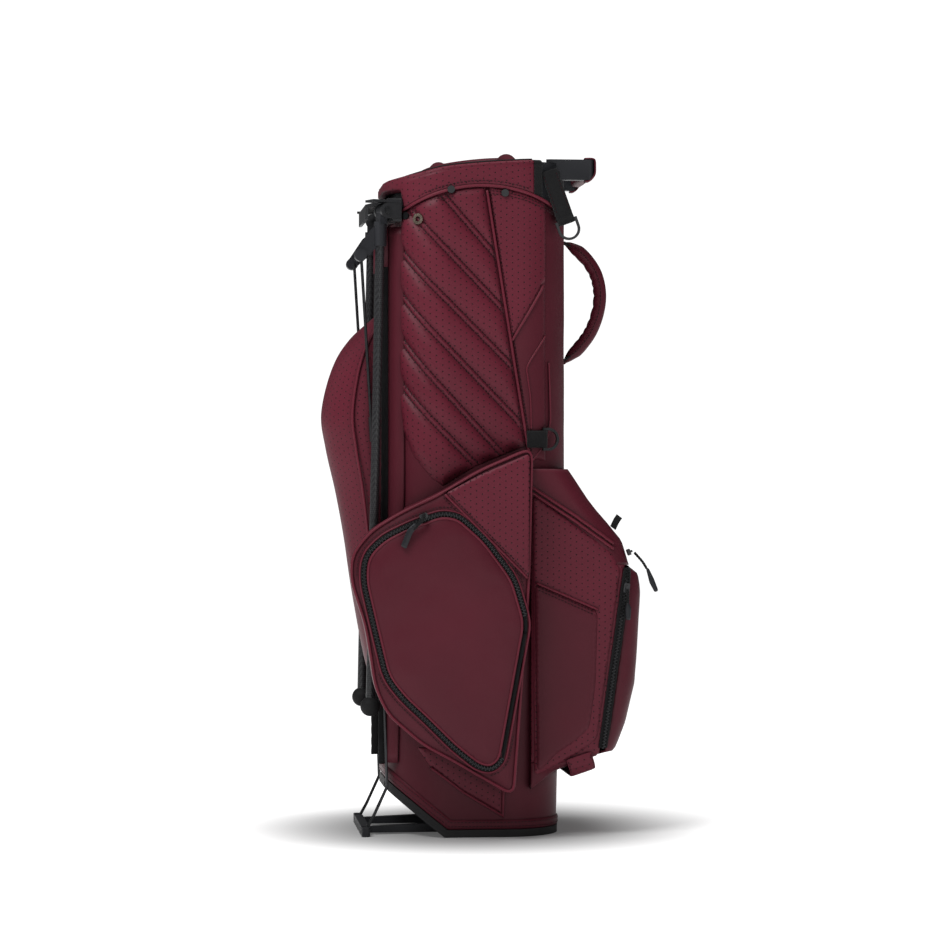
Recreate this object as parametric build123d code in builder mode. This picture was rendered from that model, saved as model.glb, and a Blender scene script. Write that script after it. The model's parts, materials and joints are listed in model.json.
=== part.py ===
from build123d import *
import os
from math import asin, cos, radians, sin, tan

# Golf stand bag, standing upright on its flat base. Millimetres, +Z up. The origin is on the ground,
# under the centre of the bag's tube. +X is the spine side with the ball pocket and the carry handle,
# -X is the side with the legs and the hip pad. The bag is symmetric about the plane Y = 0, but for a
# narrower pocket on the far side and the zip sliders of the ball pocket.

# Bag tube
TUBE_X = 115.0            # half size along X
TUBE_Y = 106.0            # half size along Y
TUBE_R = 70.0             # corner radius of the tube
WALL = 4.0                # padded wall
BASE_SHIFT = -11.0        # how far the foot of the tube leans towards the legs
STRAIGHT_FROM = 450.0     # the tube is upright above this height
GAP = 0.3                 # clearance between pieces that only lie against each other

# Rim, arched hem and base
RIM_LINE = [(-260.0, 800.0), (-125.0, 861.0), (-86.0, 870.0), (-50.0, 879.0), (6.0, 884.5), (66.0, 888.0),
            (260.0, 892.0)]     # the rim in side view
ARCH_END = 805.0          # arched upper hem of the body at both ends
ARCH_TOP = 852.0
ARCH_TOP_X = -15.0
BASE_BREAK_X = -51.0      # the base is flat from here to the spine and slants up towards the legs
BASE_ANGLE = 39.0
BOOT_SHOWS = 10.0         # height of boot that shows under the hem
HEM_HEIGHT = 13.0
REACH = 260.0             # larger than half of anything cut by it

# Stand
LEG_PIVOT = (-128.6, 85.0, 820.0)
LEG_FOOT = (-147.0, 85.0, 171.0)
LEG_TURN = 23.0           # the pivots are turned this far, so the legs splay as they open
LEG_RADIUS = 6.0
FOOT_HINGE = (-45.0, 8.0)
FOOT_BAR_X = (-158.0, -147.0)
FOOT_BAR_Y = 90.0
FOOT_ARM_Y = 52.0
WIRE_Y = 72.0
WIRE_FOOT = (-152.0, 7.0)
WIRE_JOINT = (-143.0, 516.0)
WIRE_TOP = (-158.0, 762.0)
WIRE_RADIUS = 2.0

# Side pockets
POCKET_FRONT = 163.0      # distance of the pocket's front wall from the middle plane
POCKET_WALL = 4.0
WING_BACK = 118.0         # the part of the pocket that passes outside the leg starts here
LID_FACE = 171.0
NARROW_FROM = -60.0       # the far pocket is drawn in towards the spine from here
NARROW_BY = 0.8

# Ball pocket
BALL_Y = 112.0            # half width
BALL_R = 28.0             # corner radius in plan
BALL_WALL = 4.0
ZIP_TOP = (186.0, 352.0)  # the zip that parts the door from the body, as a line in side view
ZIP_BOTTOM = (150.0, 96.0)
ZIP_BAND = 9.0


def rim_height(x):
    """Height of the rim over a place along X."""
    for (x_from, z_from), (x_to, z_to) in zip(RIM_LINE[:-1], RIM_LINE[1:]):
        if x <= x_to:
            break
    return z_from + (z_to - z_from) * (x - x_from) / (x_to - x_from)


def bag_section(height, grow):
    """Rounded outline of the tube at a height, grown outwards."""
    lean = BASE_SHIFT * max(0.0, 1.0 - height / STRAIGHT_FROM)
    with BuildSketch(Plane.XY.offset(height)) as section:
        with Locations((lean, 0)):
            RectangleRounded(2 * (TUBE_X + grow), 2 * (TUBE_Y + grow), TUBE_R + grow)
    return section.sketch


def bag_solid(grow, low, high):
    """The tube's solid, grown outwards, from one height to another."""
    with BuildPart() as solid:
        if low < STRAIGHT_FROM:
            loft([bag_section(low, grow), bag_section(min(high, STRAIGHT_FROM), grow)])
        if high > STRAIGHT_FROM:
            start = max(low, STRAIGHT_FROM)
            extrude(bag_section(start, grow), high - start)
    return solid.part


def side_prism(points, y_low, y_high):
    """Solid whose side view is the straight-edged outline, between two places along Y."""
    with BuildPart() as solid:
        with BuildSketch(Plane.XZ.offset(-y_high)):
            with BuildLine():
                Polyline(*points, close=True)
            make_face()
        extrude(amount=y_high - y_low)
    return solid.part


def curved_face(points, radius, grow):
    """Face in side view with rounded corners, grown outwards."""
    with BuildSketch() as outline:
        with BuildLine():
            FilletPolyline(*points, radius=radius, close=True)
        make_face()
        if grow:
            offset(amount=grow)
    return outline.sketch


def side_solid(face, y_low, y_high):
    """Solid from a face drawn in side view, between two places along Y."""
    with BuildPart() as solid:
        with BuildSketch(Plane.XZ.offset(-y_high)):
            add(face)
        extrude(amount=y_high - y_low)
    return solid.part


def base_outline(lift):
    """Points of the base line in side view, lifted square to itself, from the spine to the legs."""
    slope = tan(radians(BASE_ANGLE))
    break_x = BASE_BREAK_X + lift * tan(radians(BASE_ANGLE / 2))
    return [(REACH, lift), (break_x, lift), (break_x - REACH, lift + REACH * slope)]


def below_base(lift):
    """Everything under the lifted base line."""
    line = base_outline(lift)
    return side_prism(line + [(line[-1][0], -REACH), (REACH, -REACH)], -REACH, REACH)


def above_base(lift):
    """Everything over the lifted base line."""
    line = base_outline(lift)
    return side_prism(line + [(line[-1][0], 2 * REACH), (REACH, 2 * REACH)], -REACH, REACH)


def arch_side(lift, up):
    """Everything over (up) or under the arched hem, lifted by an amount."""
    ends = TUBE_X + 25.0
    drop = (ARCH_TOP - ARCH_END) * 0.42
    far = 1100.0 if up else -100.0
    with BuildPart() as solid:
        with BuildSketch(Plane.XZ.offset(-REACH)):
            with BuildLine():
                ThreePointArc((-ends, ARCH_END - drop + lift), (ARCH_TOP_X, ARCH_TOP + lift),
                              (ends, ARCH_END - drop + lift))
                Polyline((ends, ARCH_END - drop + lift), (ends, far), (-ends, far),
                         (-ends, ARCH_END - drop + lift))
            make_face()
        extrude(amount=2 * REACH)
    return solid.part


def above_rim(lift):
    """Everything over the rim."""
    line = [(x, z + lift) for x, z in RIM_LINE]
    return side_prism(line + [(line[-1][0], 1200), (line[0][0], 1200)], -REACH, REACH)


def bar_between(start, end, radius):
    """Round bar between two points."""
    along = Vector(*end) - Vector(*start)
    with BuildPart() as bar:
        with BuildSketch(Plane(origin=start, z_dir=along)):
            Circle(radius)
        extrude(amount=along.length)
    return bar.part


def surface_plane(x, height, out):
    """Plane on the near side of the upright tube at X, facing outwards, lifted off by an amount."""
    beyond = abs(x) - (TUBE_X - TUBE_R)
    turn = asin(beyond / TUBE_R) if beyond > 0 else 0.0
    turn = turn if x > 0 else -turn
    y = -(TUBE_Y - TUBE_R) - TUBE_R * cos(turn)
    normal = (sin(turn), -cos(turn), 0)
    spot = (x + out * normal[0], y + out * normal[1], height)
    return Plane(origin=spot, x_dir=(cos(turn), sin(turn), 0), z_dir=normal)


# Cutters shared by several pieces
shell_bore = bag_solid(-WALL, -5, 900)
tube_clear = bag_solid(GAP, -60, 900)
under_base = below_base(0)
under_arch = arch_side(GAP, up=False)

# ---- Base: moulded boot, body shell, leather hem ---------------------------------------------

inside_wall = bag_solid(-WALL - GAP, -5, 96)
boot_bore = bag_solid(-WALL - GAP - 3, -5, 120)
boot_bore_cut = above_base(21)
foot_channel = [(-34, -5), (-34, 16), (-46, 19), (-62, 29), (-142, 80), (-150, 80), (-150, -5)]
channel = side_prism(foot_channel, FOOT_ARM_Y - 8, FOOT_ARM_Y + 8)

with BuildPart() as boot_rim:
    add(bag_solid(1.5, -5, 140))
    add(above_base(BOOT_SHOWS), mode=Mode.SUBTRACT)

with BuildPart() as boot_hollow:
    add(boot_bore)
    add(boot_bore_cut, mode=Mode.INTERSECT)

with BuildPart() as base_boot:
    add(boot_rim.part)
    add(inside_wall)
    add(under_base, mode=Mode.SUBTRACT)
    add(boot_hollow.part, mode=Mode.SUBTRACT)
    add(channel, mode=Mode.SUBTRACT)
    mirror(channel, about=Plane.XZ, mode=Mode.SUBTRACT)
    with Locations(Location((FOOT_HINGE[0], 0, FOOT_HINGE[1]), (90, 0, 0))):
        Cylinder(2.55, 2 * FOOT_ARM_Y + 50, mode=Mode.SUBTRACT)

with BuildPart() as body_shell:
    add(bag_solid(0, -5, 900))
    add(shell_bore, mode=Mode.SUBTRACT)
    add(below_base(BOOT_SHOWS + GAP), mode=Mode.SUBTRACT)
    add(arch_side(0, up=True), mode=Mode.SUBTRACT)

with BuildPart() as bottom_hem:
    add(bag_solid(2.0, -5, 140))
    add(bag_solid(GAP, -8, 160), mode=Mode.SUBTRACT)
    add(below_base(BOOT_SHOWS + GAP), mode=Mode.SUBTRACT)
    add(above_base(BOOT_SHOWS + HEM_HEIGHT), mode=Mode.SUBTRACT)

# ---- Top: moulded collar with its grab handle, leather cuff and binding -----------------------

HANDLE_OUT = 150.0
HANDLE_Y = 80.0
HANDLE_LOW = 864.0
HANDLE_HIGH = 891.0
GRIP_LOW = 869.5          # underside of the bar between the arms
ARM = 13.0
CUFF_END = 66.0
BINDING = 10.0

with BuildPart() as collar_ring:
    add(bag_solid(-WALL - GAP, 785, 900))
    add(bag_solid(-12, 780, 905), mode=Mode.SUBTRACT)

with BuildPart() as collar_back:
    add(bag_solid(0, 785, 900))
    add(bag_solid(-12, 780, 905), mode=Mode.SUBTRACT)
    add(under_arch, mode=Mode.SUBTRACT)
    add(side_prism([(CUFF_END + BINDING + 1, 700), (CUFF_END + BINDING + 1, 950), (-200, 950), (-200, 700)],
                   -REACH, REACH), mode=Mode.SUBTRACT)

with BuildPart() as collar_frame:
    add(collar_ring.part)
    add(collar_back.part)
    add(above_rim(-3), mode=Mode.SUBTRACT)
    with BuildSketch(Plane.XY.offset(HANDLE_LOW)):
        with Locations(((HANDLE_OUT + 86) / 2, 0)):
            RectangleRounded(HANDLE_OUT - 86, 2 * HANDLE_Y, 6)
        with Locations(((HANDLE_OUT + 86) / 2 - 9, 0)):
            Rectangle(HANDLE_OUT - 86, 2 * (HANDLE_Y - ARM), mode=Mode.SUBTRACT)
    extrude(amount=HANDLE_HIGH - HANDLE_LOW)
    with Locations((HANDLE_OUT, 0, GRIP_LOW - 10)):
        Box(40, 2 * (HANDLE_Y - ARM), 20, mode=Mode.SUBTRACT)
    add(side_prism([(140, 860), (152, 860), (152, 873)], -REACH, REACH), mode=Mode.SUBTRACT)
    add(bag_solid(-12, 780, 905), mode=Mode.SUBTRACT)

with BuildPart() as grab_handle_wrap:
    with BuildSketch(Plane.XZ.offset(-58)):
        with Locations((HANDLE_OUT - 4.5, (GRIP_LOW + HANDLE_HIGH) / 2)):
            RectangleRounded(17, HANDLE_HIGH - GRIP_LOW + 4, 7)
            Rectangle(9.2, HANDLE_HIGH - GRIP_LOW + 0.2, mode=Mode.SUBTRACT)
    extrude(amount=116)

left_of_cuff_end = side_prism([(CUFF_END, 700), (CUFF_END, 950), (-200, 950), (-200, 700)], -REACH, REACH)
binding_zone = side_prism([(CUFF_END + GAP, 700), (CUFF_END + GAP, 950), (CUFF_END + BINDING, 950),
                           (CUFF_END + BINDING, 700)], -REACH, REACH)
bracket_recess = side_prism([(-101, 700), (-101, 843), (-200, 843), (-200, 700)], -REACH, REACH)

with BuildPart() as cuff_form:
    add(bag_solid(3.5, 780, 900))
    add(bag_solid(-14, 770, 905), mode=Mode.SUBTRACT)
    add(above_rim(0), mode=Mode.SUBTRACT)
    add(under_arch, mode=Mode.SUBTRACT)

with BuildPart() as cuff_core:
    add(bag_solid(-WALL, 770, 905))
    add(above_rim(-3 + GAP), mode=Mode.SUBTRACT)

with BuildPart() as collar_cuff:
    add(cuff_form.part)
    add(cuff_core.part, mode=Mode.SUBTRACT)
    add(left_of_cuff_end, mode=Mode.INTERSECT)
    add(bracket_recess, mode=Mode.SUBTRACT)

with BuildPart() as cuff_binding:
    add(cuff_form.part)
    add(cuff_core.part, mode=Mode.SUBTRACT)
    add(binding_zone, mode=Mode.INTERSECT)

# ---- Club dividers and stay rods inside the tube ----------------------------------------------

DIVIDER_X = (-52.0, 39.0)
BAR_WIDTH = 18.0
BAR_DEPTH = 20.0
divider_room = bag_solid(-14 - GAP, 5, 930)

with BuildPart() as divider_bars:
    for bar_x, crown in zip(DIVIDER_X, (893.0, 905.0)):
        edge = rim_height(bar_x) - 5
        with BuildSketch(Plane.YZ.offset(bar_x - BAR_WIDTH / 2)):
            with BuildLine():
                ThreePointArc((-TUBE_Y, edge), (0, crown), (TUBE_Y, edge))
                Polyline((TUBE_Y, edge), (TUBE_Y, edge - BAR_DEPTH))
                ThreePointArc((TUBE_Y, edge - BAR_DEPTH), (0, crown - BAR_DEPTH), (-TUBE_Y, edge - BAR_DEPTH))
                Polyline((-TUBE_Y, edge - BAR_DEPTH), (-TUBE_Y, edge))
            make_face()
        extrude(amount=BAR_WIDTH)
    with BuildSketch(Plane.XZ.offset(-BAR_WIDTH / 2)):
        with BuildLine():
            Polyline((-TUBE_X, 856), (DIVIDER_X[0], 891), (DIVIDER_X[1], 902), (TUBE_X, 886),
                     (TUBE_X, 866), (DIVIDER_X[1], 882), (DIVIDER_X[0], 871), (-TUBE_X, 836), close=True)
        make_face()
    extrude(amount=BAR_WIDTH)
    add(divider_room, mode=Mode.INTERSECT)

PANEL = 1.6
with BuildPart() as divider_panels:
    for panel_x in DIVIDER_X:
        with Locations((panel_x, 0, 435)):
            Box(PANEL, 2 * TUBE_Y, 800)
    with Locations((0, 0, 435)):
        Box(2 * TUBE_X + 20, PANEL, 800)
    add(divider_room, mode=Mode.INTERSECT)
    add(below_base(22), mode=Mode.SUBTRACT)

with BuildPart() as stay_rods:
    for rod_y in (-34, 34):
        add(bar_between((98.5, rod_y, 100), (107.0, rod_y, 784), 2.4))

# ---- Rivets and eyelets ------------------------------------------------------------------------

RIVETS = [(-97.0, 814.0), (-43.0, 847.0), (28.0, 843.0), (98.0, 812.0)]
with BuildPart() as rivets_near:
    for rivet_x, rivet_z in RIVETS:
        with BuildSketch(surface_plane(rivet_x, rivet_z, 3.9)):
            Circle(4.9)
        extrude(amount=1.8)
with BuildPart() as collar_rivets:
    add(rivets_near.part)
    mirror(rivets_near.part, about=Plane.XZ)

with BuildPart() as eyelet_near:
    with BuildSketch(surface_plane(-83, 809, 3.4)):
        Circle(7.2)
        Circle(3.4, mode=Mode.SUBTRACT)
    extrude(amount=1.8)
with BuildPart() as snap_eyelets:
    add(eyelet_near.part)
    mirror(eyelet_near.part, about=Plane.XZ)

# ---- Leather panels on the sides ---------------------------------------------------------------

seam_top = (4.4, 846.5)
seam_foot = (60.6, 491.0)
quilt_outline = [(-107, 900), (-109, 572), (-103, 533), (-90, 500), (-67, 470), (-53, 459.5), (-11, 485),
                 (57, 515), seam_top, (-4, 900)]
front_outline = [(5.4, 900), (seam_top[0] + 1.2, seam_top[1]), (58.2, 515), (61, 496), (83, 491), (83, 900)]

with BuildPart() as near_side_panel:
    add(bag_solid(3.0, 440, 900))
    add(bag_solid(GAP, 430, 905), mode=Mode.SUBTRACT)
    add(side_prism(quilt_outline, -REACH, -20), mode=Mode.INTERSECT)
    add(arch_side(-GAP, up=True), mode=Mode.SUBTRACT)

with BuildPart() as near_front_panel:
    add(bag_solid(1.8, 440, 900))
    add(bag_solid(GAP, 430, 905), mode=Mode.SUBTRACT)
    add(side_prism(front_outline, -REACH, -20), mode=Mode.INTERSECT)
    add(arch_side(-GAP, up=True), mode=Mode.SUBTRACT)

# ---- Hip pad between the legs, and the ribbed strips beside it -----------------------------------

pad_outline = [(-90, 704), (-116, 704), (-146, 680), (-186, 630), (-206, 560), (-199, 509), (-185, 455), (-173, 391),
             (-163, 315), (-144, 212), (-122, 190), (-90, 190)]
pad_side = side_solid(curved_face(pad_outline, 8, 0), -REACH, REACH)
with BuildPart() as hip_pad:
    with BuildSketch(Plane.XY.offset(180)):
        with BuildLine():
            Polyline((-90, -64), (-146, -64), (-206, -20), (-206, 20), (-146, 64), (-90, 64), close=True)
        make_face()
    extrude(amount=540)
    add(pad_side, mode=Mode.INTERSECT)
    add(tube_clear, mode=Mode.SUBTRACT)

strip_outline = [(-110, 752), (-131, 752), (-131, 450), (-135, 150), (-132, 93), (-110, 93)]
with BuildPart() as strip_near:
    add(side_prism(strip_outline, -69.6, -64.6))
    add(tube_clear, mode=Mode.SUBTRACT)
    add(bag_solid(2.3, 40, 125), mode=Mode.SUBTRACT)
with BuildPart() as edge_strips:
    add(strip_near.part)
    mirror(strip_near.part, about=Plane.XZ)

# ---- Side pocket: hollow body, zip band, padded lid, slider and pull ------------------------------

pocket_outline = [(58, 510), (-11, 480), (-60, 451), (-113, 426), (-151, 403), (-176, 372), (-177, 338),
                (-158, 280), (-151, 236), (-146, 201), (-130, 166), (-84, 126), (-48, 107), (34, 59), (54, 339)]
lid_outline = [(46, 283), (30, 338), (-7, 388), (-40, 417), (-60, 420), (-97, 407), (-133, 390), (-155, 368),
             (-157, 338), (-140, 266), (-128, 216), (-108, 190), (-77, 161), (-42, 126), (-13, 103),
             (2, 98), (14, 108)]
wing_cut = side_prism([(-108, 0), (-108, 600), (-300, 600), (-300, 0)], -WING_BACK, 0)
hollow_wing = side_prism([(-102, 0), (-102, 600), (-300, 600), (-300, 0)], -WING_BACK - 3, 0)
zip_ends = side_prism([(16, 0), (16, 110), (44, 292), (30, 352), (300, 352), (300, 0)], -REACH, 0)


def narrowed(points):
    """The far pocket is narrower towards the legs than the near one."""
    return [(x if x > NARROW_FROM else NARROW_FROM + (x - NARROW_FROM) * NARROW_BY, z) for x, z in points]


def pocket_body(outline, lid_line):
    """Hollow pocket with an opening for its lid."""
    with BuildPart() as hollow:
        add(side_solid(curved_face(outline, 9, -POCKET_WALL), -POCKET_FRONT + 3, -TUBE_Y - 4))
        add(hollow_wing, mode=Mode.SUBTRACT)
    with BuildPart() as body:
        add(side_solid(curved_face(outline, 9, 0), -POCKET_FRONT, -70))
        add(tube_clear, mode=Mode.SUBTRACT)
        add(wing_cut, mode=Mode.SUBTRACT)
        add(hollow.part, mode=Mode.SUBTRACT)
        add(side_solid(curved_face(lid_line, 8, 0.8), -POCKET_FRONT - 1, -POCKET_FRONT + 5), mode=Mode.SUBTRACT)
    return body


def pocket_zip(lid_line):
    """Zip band round the lid."""
    with BuildPart() as band:
        add(side_solid(curved_face(lid_line, 8, 9), -POCKET_FRONT - 2.8, -POCKET_FRONT - GAP))
        add(side_solid(curved_face(lid_line, 8, 0.8), -POCKET_FRONT - 5, -POCKET_FRONT + 5), mode=Mode.SUBTRACT)
        add(zip_ends, mode=Mode.SUBTRACT)
    return band


def pocket_lid(lid_line):
    """Padded lid."""
    with BuildPart() as lid:
        add(side_solid(curved_face(lid_line, 8, 0), -LID_FACE, -POCKET_FRONT + 3))
        fillet(lid.faces().sort_by(Axis.Y)[0].edges(), 3)
    return lid


near_pocket_body = pocket_body(pocket_outline, lid_outline)
near_pocket_zip = pocket_zip(lid_outline)
near_pocket_lid = pocket_lid(lid_outline)
far_pocket_body = pocket_body(narrowed(pocket_outline), narrowed(lid_outline))
far_pocket_zip = pocket_zip(narrowed(lid_outline))
far_pocket_lid = pocket_lid(narrowed(lid_outline))

ZIP_HEAD = (-84.0, 421.0)
zip_run = Plane(origin=(ZIP_HEAD[0], -POCKET_FRONT - 3.1, ZIP_HEAD[1]), x_dir=(0.92, 0, 0.39), z_dir=(0, -1, 0))
with BuildPart() as near_zip_slider:
    with BuildSketch(zip_run):
        RectangleRounded(11, 7, 2)
    extrude(amount=3.6)
    with BuildSketch(zip_run.offset(3.6)):
        Rectangle(5, 2.4)
    extrude(amount=2.6)

with BuildPart() as near_zip_pull:
    with BuildSketch(Plane.XZ.offset(POCKET_FRONT + 9.8)):
        with BuildLine():
            Polyline((-84, 422), (-91, 404), (-106, 380), (-111, 383), (-97, 407), (-88, 424), close=True)
        make_face()
    extrude(amount=3.0)

# ---- Ball pocket: body, door, zip, sliders, slip pocket, top zip and lift handle --------------------

ball_outline = [(113, 484), (140, 443), (166, 410), (184, 388), (195, 357), (208, 344), (210, 318), (208, 279),
              (202, 200), (190, 148), (176, 110), (150, 103), (99, 86), (60, 62), (62, 484)]
ball_outer = curved_face(ball_outline, 6, 0)
ball_inner = curved_face(ball_outline, 6, -BALL_WALL)


def ball_plan(grow):
    """Plan of the ball pocket as a tall solid, grown outwards."""
    with BuildPart() as plan:
        with BuildSketch(Plane.XY.offset(20)):
            with Locations((110 - 50, 0)):
                RectangleRounded(300 + 2 * grow, 2 * (BALL_Y + grow), BALL_R + grow)
        extrude(amount=500)
    return plan.part


def beyond_zip(shift, outwards):
    """Everything outside (or inside) the zip line of the ball pocket, moved along X."""
    run = (ZIP_TOP[0] - ZIP_BOTTOM[0]) / (ZIP_TOP[1] - ZIP_BOTTOM[1])
    low = (ZIP_BOTTOM[0] - run * ZIP_BOTTOM[1] + shift, 0)
    high = (ZIP_BOTTOM[0] + run * (600 - ZIP_BOTTOM[1]) + shift, 600)
    far_x = 400 if outwards else -400
    return side_prism([low, high, (far_x, 600), (far_x, 0)], -REACH, REACH)


notch = side_prism([(150, 356), (300, 356), (300, 600), (150, 600)], -REACH, REACH)
with BuildPart() as ball_block:
    add(side_solid(ball_outer, -BALL_Y, BALL_Y))
    add(ball_plan(0), mode=Mode.INTERSECT)
    add(tube_clear, mode=Mode.SUBTRACT)

with BuildPart() as ball_room:
    add(side_solid(ball_inner, -BALL_Y + BALL_WALL, BALL_Y - BALL_WALL))
    add(ball_plan(-BALL_WALL), mode=Mode.INTERSECT)
    add(bag_solid(GAP + 3, -60, 900), mode=Mode.SUBTRACT)
    add(side_prism([(0, 372), (300, 372), (300, 600), (0, 600)], -REACH, REACH), mode=Mode.SUBTRACT)

with BuildPart() as purse_room:
    add(side_solid(ball_inner, -BALL_Y + 8, BALL_Y - 8))
    add(bag_solid(GAP + 4, -60, 900), mode=Mode.SUBTRACT)
    add(side_prism([(0, 376), (300, 376), (300, 0), (0, 0)], -REACH, REACH), mode=Mode.SUBTRACT)

with BuildPart() as ball_pocket_body:
    add(ball_block.part)
    add(ball_room.part, mode=Mode.SUBTRACT)
    add(purse_room.part, mode=Mode.SUBTRACT)
    add(beyond_zip(0, outwards=False), mode=Mode.INTERSECT)

with BuildPart() as ball_pocket_door:
    add(ball_block.part)
    add(ball_room.part, mode=Mode.SUBTRACT)
    add(beyond_zip(ZIP_BAND + 0.6, outwards=True), mode=Mode.INTERSECT)
    add(notch, mode=Mode.SUBTRACT)

with BuildPart() as ball_zip:
    add(side_solid(curved_face(ball_outline, 6, -1.0), -BALL_Y + 1.0, BALL_Y - 1.0))
    add(ball_plan(-1.0), mode=Mode.INTERSECT)
    add(side_solid(curved_face(ball_outline, 6, -3.0), -BALL_Y + 3.0, BALL_Y - 3.0),
        mode=Mode.SUBTRACT)
    add(beyond_zip(0.3, outwards=True), mode=Mode.INTERSECT)
    add(beyond_zip(ZIP_BAND + 0.3, outwards=False), mode=Mode.INTERSECT)
    add(side_prism([(0, 112), (300, 112), (300, 0), (0, 0)], -REACH, REACH), mode=Mode.SUBTRACT)


SLIDER_TOP = (188.0, 326.0)
slider_plane = Plane(origin=(SLIDER_TOP[0], -BALL_Y - 0.6, SLIDER_TOP[1]), x_dir=(0.139, 0, 0.99), z_dir=(0, -1, 0))
with BuildPart() as ball_slider:
    with BuildSketch(slider_plane):
        RectangleRounded(12, 8, 2)
    extrude(amount=4)
    with BuildSketch(slider_plane.offset(4)):
        Rectangle(6, 2.6)
    extrude(amount=3)

with BuildPart() as ball_slider_pull:
    with BuildSketch(Plane.XZ.offset(BALL_Y + 8.0)):
        with BuildLine():
            Polyline((187, 324.4), (190, 324.4), (190, 305), (193, 302), (192, 284), (186, 284), (185, 302),
                     (187, 305), close=True)
        make_face()
    extrude(amount=3.4)

TOP_SLIDER = (192.4, -92.0, 371.5)
top_slider_plane = Plane(origin=TOP_SLIDER, x_dir=(0, 1, 0), z_dir=(0.942, 0, 0.334))
with BuildPart() as top_slider:
    with BuildSketch(top_slider_plane):
        RectangleRounded(12, 8, 2)
    extrude(amount=4)
    with BuildSketch(top_slider_plane.offset(4)):
        Rectangle(6, 2.6)
    extrude(amount=3)

with BuildPart() as top_slider_pull:
    with BuildSketch(Plane.XZ.offset(-TOP_SLIDER[1] - 1.6)):
        with BuildLine():
            Polyline((201.2, 372.8), (203, 372), (219, 352), (226, 338), (233, 322), (229, 320), (221, 334),
                     (215, 350), (200, 369), close=True)
        make_face()
    extrude(amount=3.2)

with BuildPart() as near_slip_pocket:
    with BuildSketch(Plane.XZ.offset(BALL_Y + GAP)):
        with BuildLine():
            FilletPolyline((66, 333), (150, 296), (147, 200), (139, 142), (118, 124), (96, 110), (70, 84),
                           radius=8, close=True)
        make_face()
    extrude(amount=2.2)

with BuildPart() as ribbon_near:
    with BuildSketch(Plane.XZ.offset(92)):
        with BuildLine():
            Polyline((170, 408), (179, 421), (186, 416), (177, 400), close=True)
        make_face()
    extrude(amount=2.4)
with BuildPart() as ribbon_tabs:
    add(ribbon_near.part)
    mirror(ribbon_near.part, about=Plane.XZ)
    add(ball_block.part, mode=Mode.SUBTRACT)

lift_plane = Plane(origin=(128, 0, 95.67), x_dir=(0, 1, 0), z_dir=(0.9487, 0, 0.3162))
with BuildPart() as lift_handle:
    with BuildSketch(lift_plane.offset(-18)):
        with BuildLine():
            Polyline((-115.3, 12), (-115.3, -4), (-103, -14), (103, -14), (115.3, -4), (115.3, 12), (112.3, 12),
                     (112.3, -2.6), (101.6, -11), (-101.6, -11), (-112.3, -2.6), (-112.3, 12), close=True)
        make_face()
    extrude(amount=36)

# ---- Carry handle on the spine, and the webbing with its rings -------------------------------------

HANDLE_TUBE = 8.5
SWING_X = 118.4
handle_route = [(128, 782), (148, 768), (163, 746), (169.5, 720), (167, 694), (157, 668), (143, 648), (128, 634)]
with BuildPart() as carry_handle:
    with BuildLine(Plane.XZ) as handle_line:
        FilletPolyline(*handle_route, radius=30)
    with BuildSketch(Plane(origin=handle_line.line @ 0, z_dir=handle_line.line % 0)):
        Circle(HANDLE_TUBE)
    sweep(path=handle_line.line)

with BuildPart() as handle_webbing:
    for strap_z, tilt in ((784.6, 35), (631.4, -35)):
        with Locations(Location((124, 0, strap_z), (0, tilt, 0))):
            Box(11.5, 3, 15)
    add(carry_handle.part, mode=Mode.SUBTRACT)
    add(side_prism([(SWING_X, 500), (SWING_X, 900), (0, 900), (0, 500)], -20, 20), mode=Mode.SUBTRACT)

with BuildPart() as handle_anchors:
    for anchor_z in (789, 627):
        with Locations((116.15, 0, anchor_z)):
            Box(1.7, 26, 26)

with BuildPart() as spine_tabs:
    for tab_z in (565, 527):
        with Locations((117, 0, tab_z)):
            Box(3.4, 24, 14)

RING_WIRE = 3.4


def ring_sketch(width, depth):
    """D-shaped ring with its straight bar along X through the plane's origin."""
    with BuildSketch() as ring:
        with Locations((0, -(depth - width / 2) / 2)):
            Rectangle(width, depth - width / 2 + RING_WIRE)
        with Locations((0, -(depth - width / 2))):
            Circle(width / 2)
        with Locations((0, -(depth - width / 2) / 2 - RING_WIRE / 4)):
            Rectangle(width - 2 * RING_WIRE, depth - width / 2 - RING_WIRE / 2, mode=Mode.SUBTRACT)
        with Locations((0, -(depth - width / 2))):
            Circle(width / 2 - RING_WIRE, mode=Mode.SUBTRACT)
        Rectangle(width, RING_WIRE)
        with Locations((0, width / 2 + RING_WIRE / 2)):
            Rectangle(2 * width, width, mode=Mode.SUBTRACT)
    return ring.sketch


def ring_part(plane, width, depth):
    """Flat D-ring centred on a plane."""
    with BuildPart() as ring:
        with BuildSketch(plane.offset(-RING_WIRE / 2)):
            add(ring_sketch(width, depth))
        extrude(amount=RING_WIRE)
    return ring.part


def loop_part(plane, width, strap_start, strap_end):
    """Webbing folded round the ring's bar, with its strap running away from the ring."""
    with BuildPart() as strap:
        with BuildSketch(Plane(origin=plane.origin, x_dir=plane.z_dir, z_dir=plane.x_dir)) as fold:
            Circle(4.4)
        extrude(amount=width / 2, both=True)
        with BuildSketch(plane.offset(-1.4)):
            with Locations((0, (strap_start + strap_end) / 2)):
                Rectangle(width, strap_end - strap_start)
        extrude(amount=2.8)
        with BuildSketch(Plane(origin=plane.origin, x_dir=plane.z_dir, z_dir=plane.x_dir)):
            Circle(2.7)
        extrude(amount=width, both=True, mode=Mode.SUBTRACT)
    return strap.part


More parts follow.
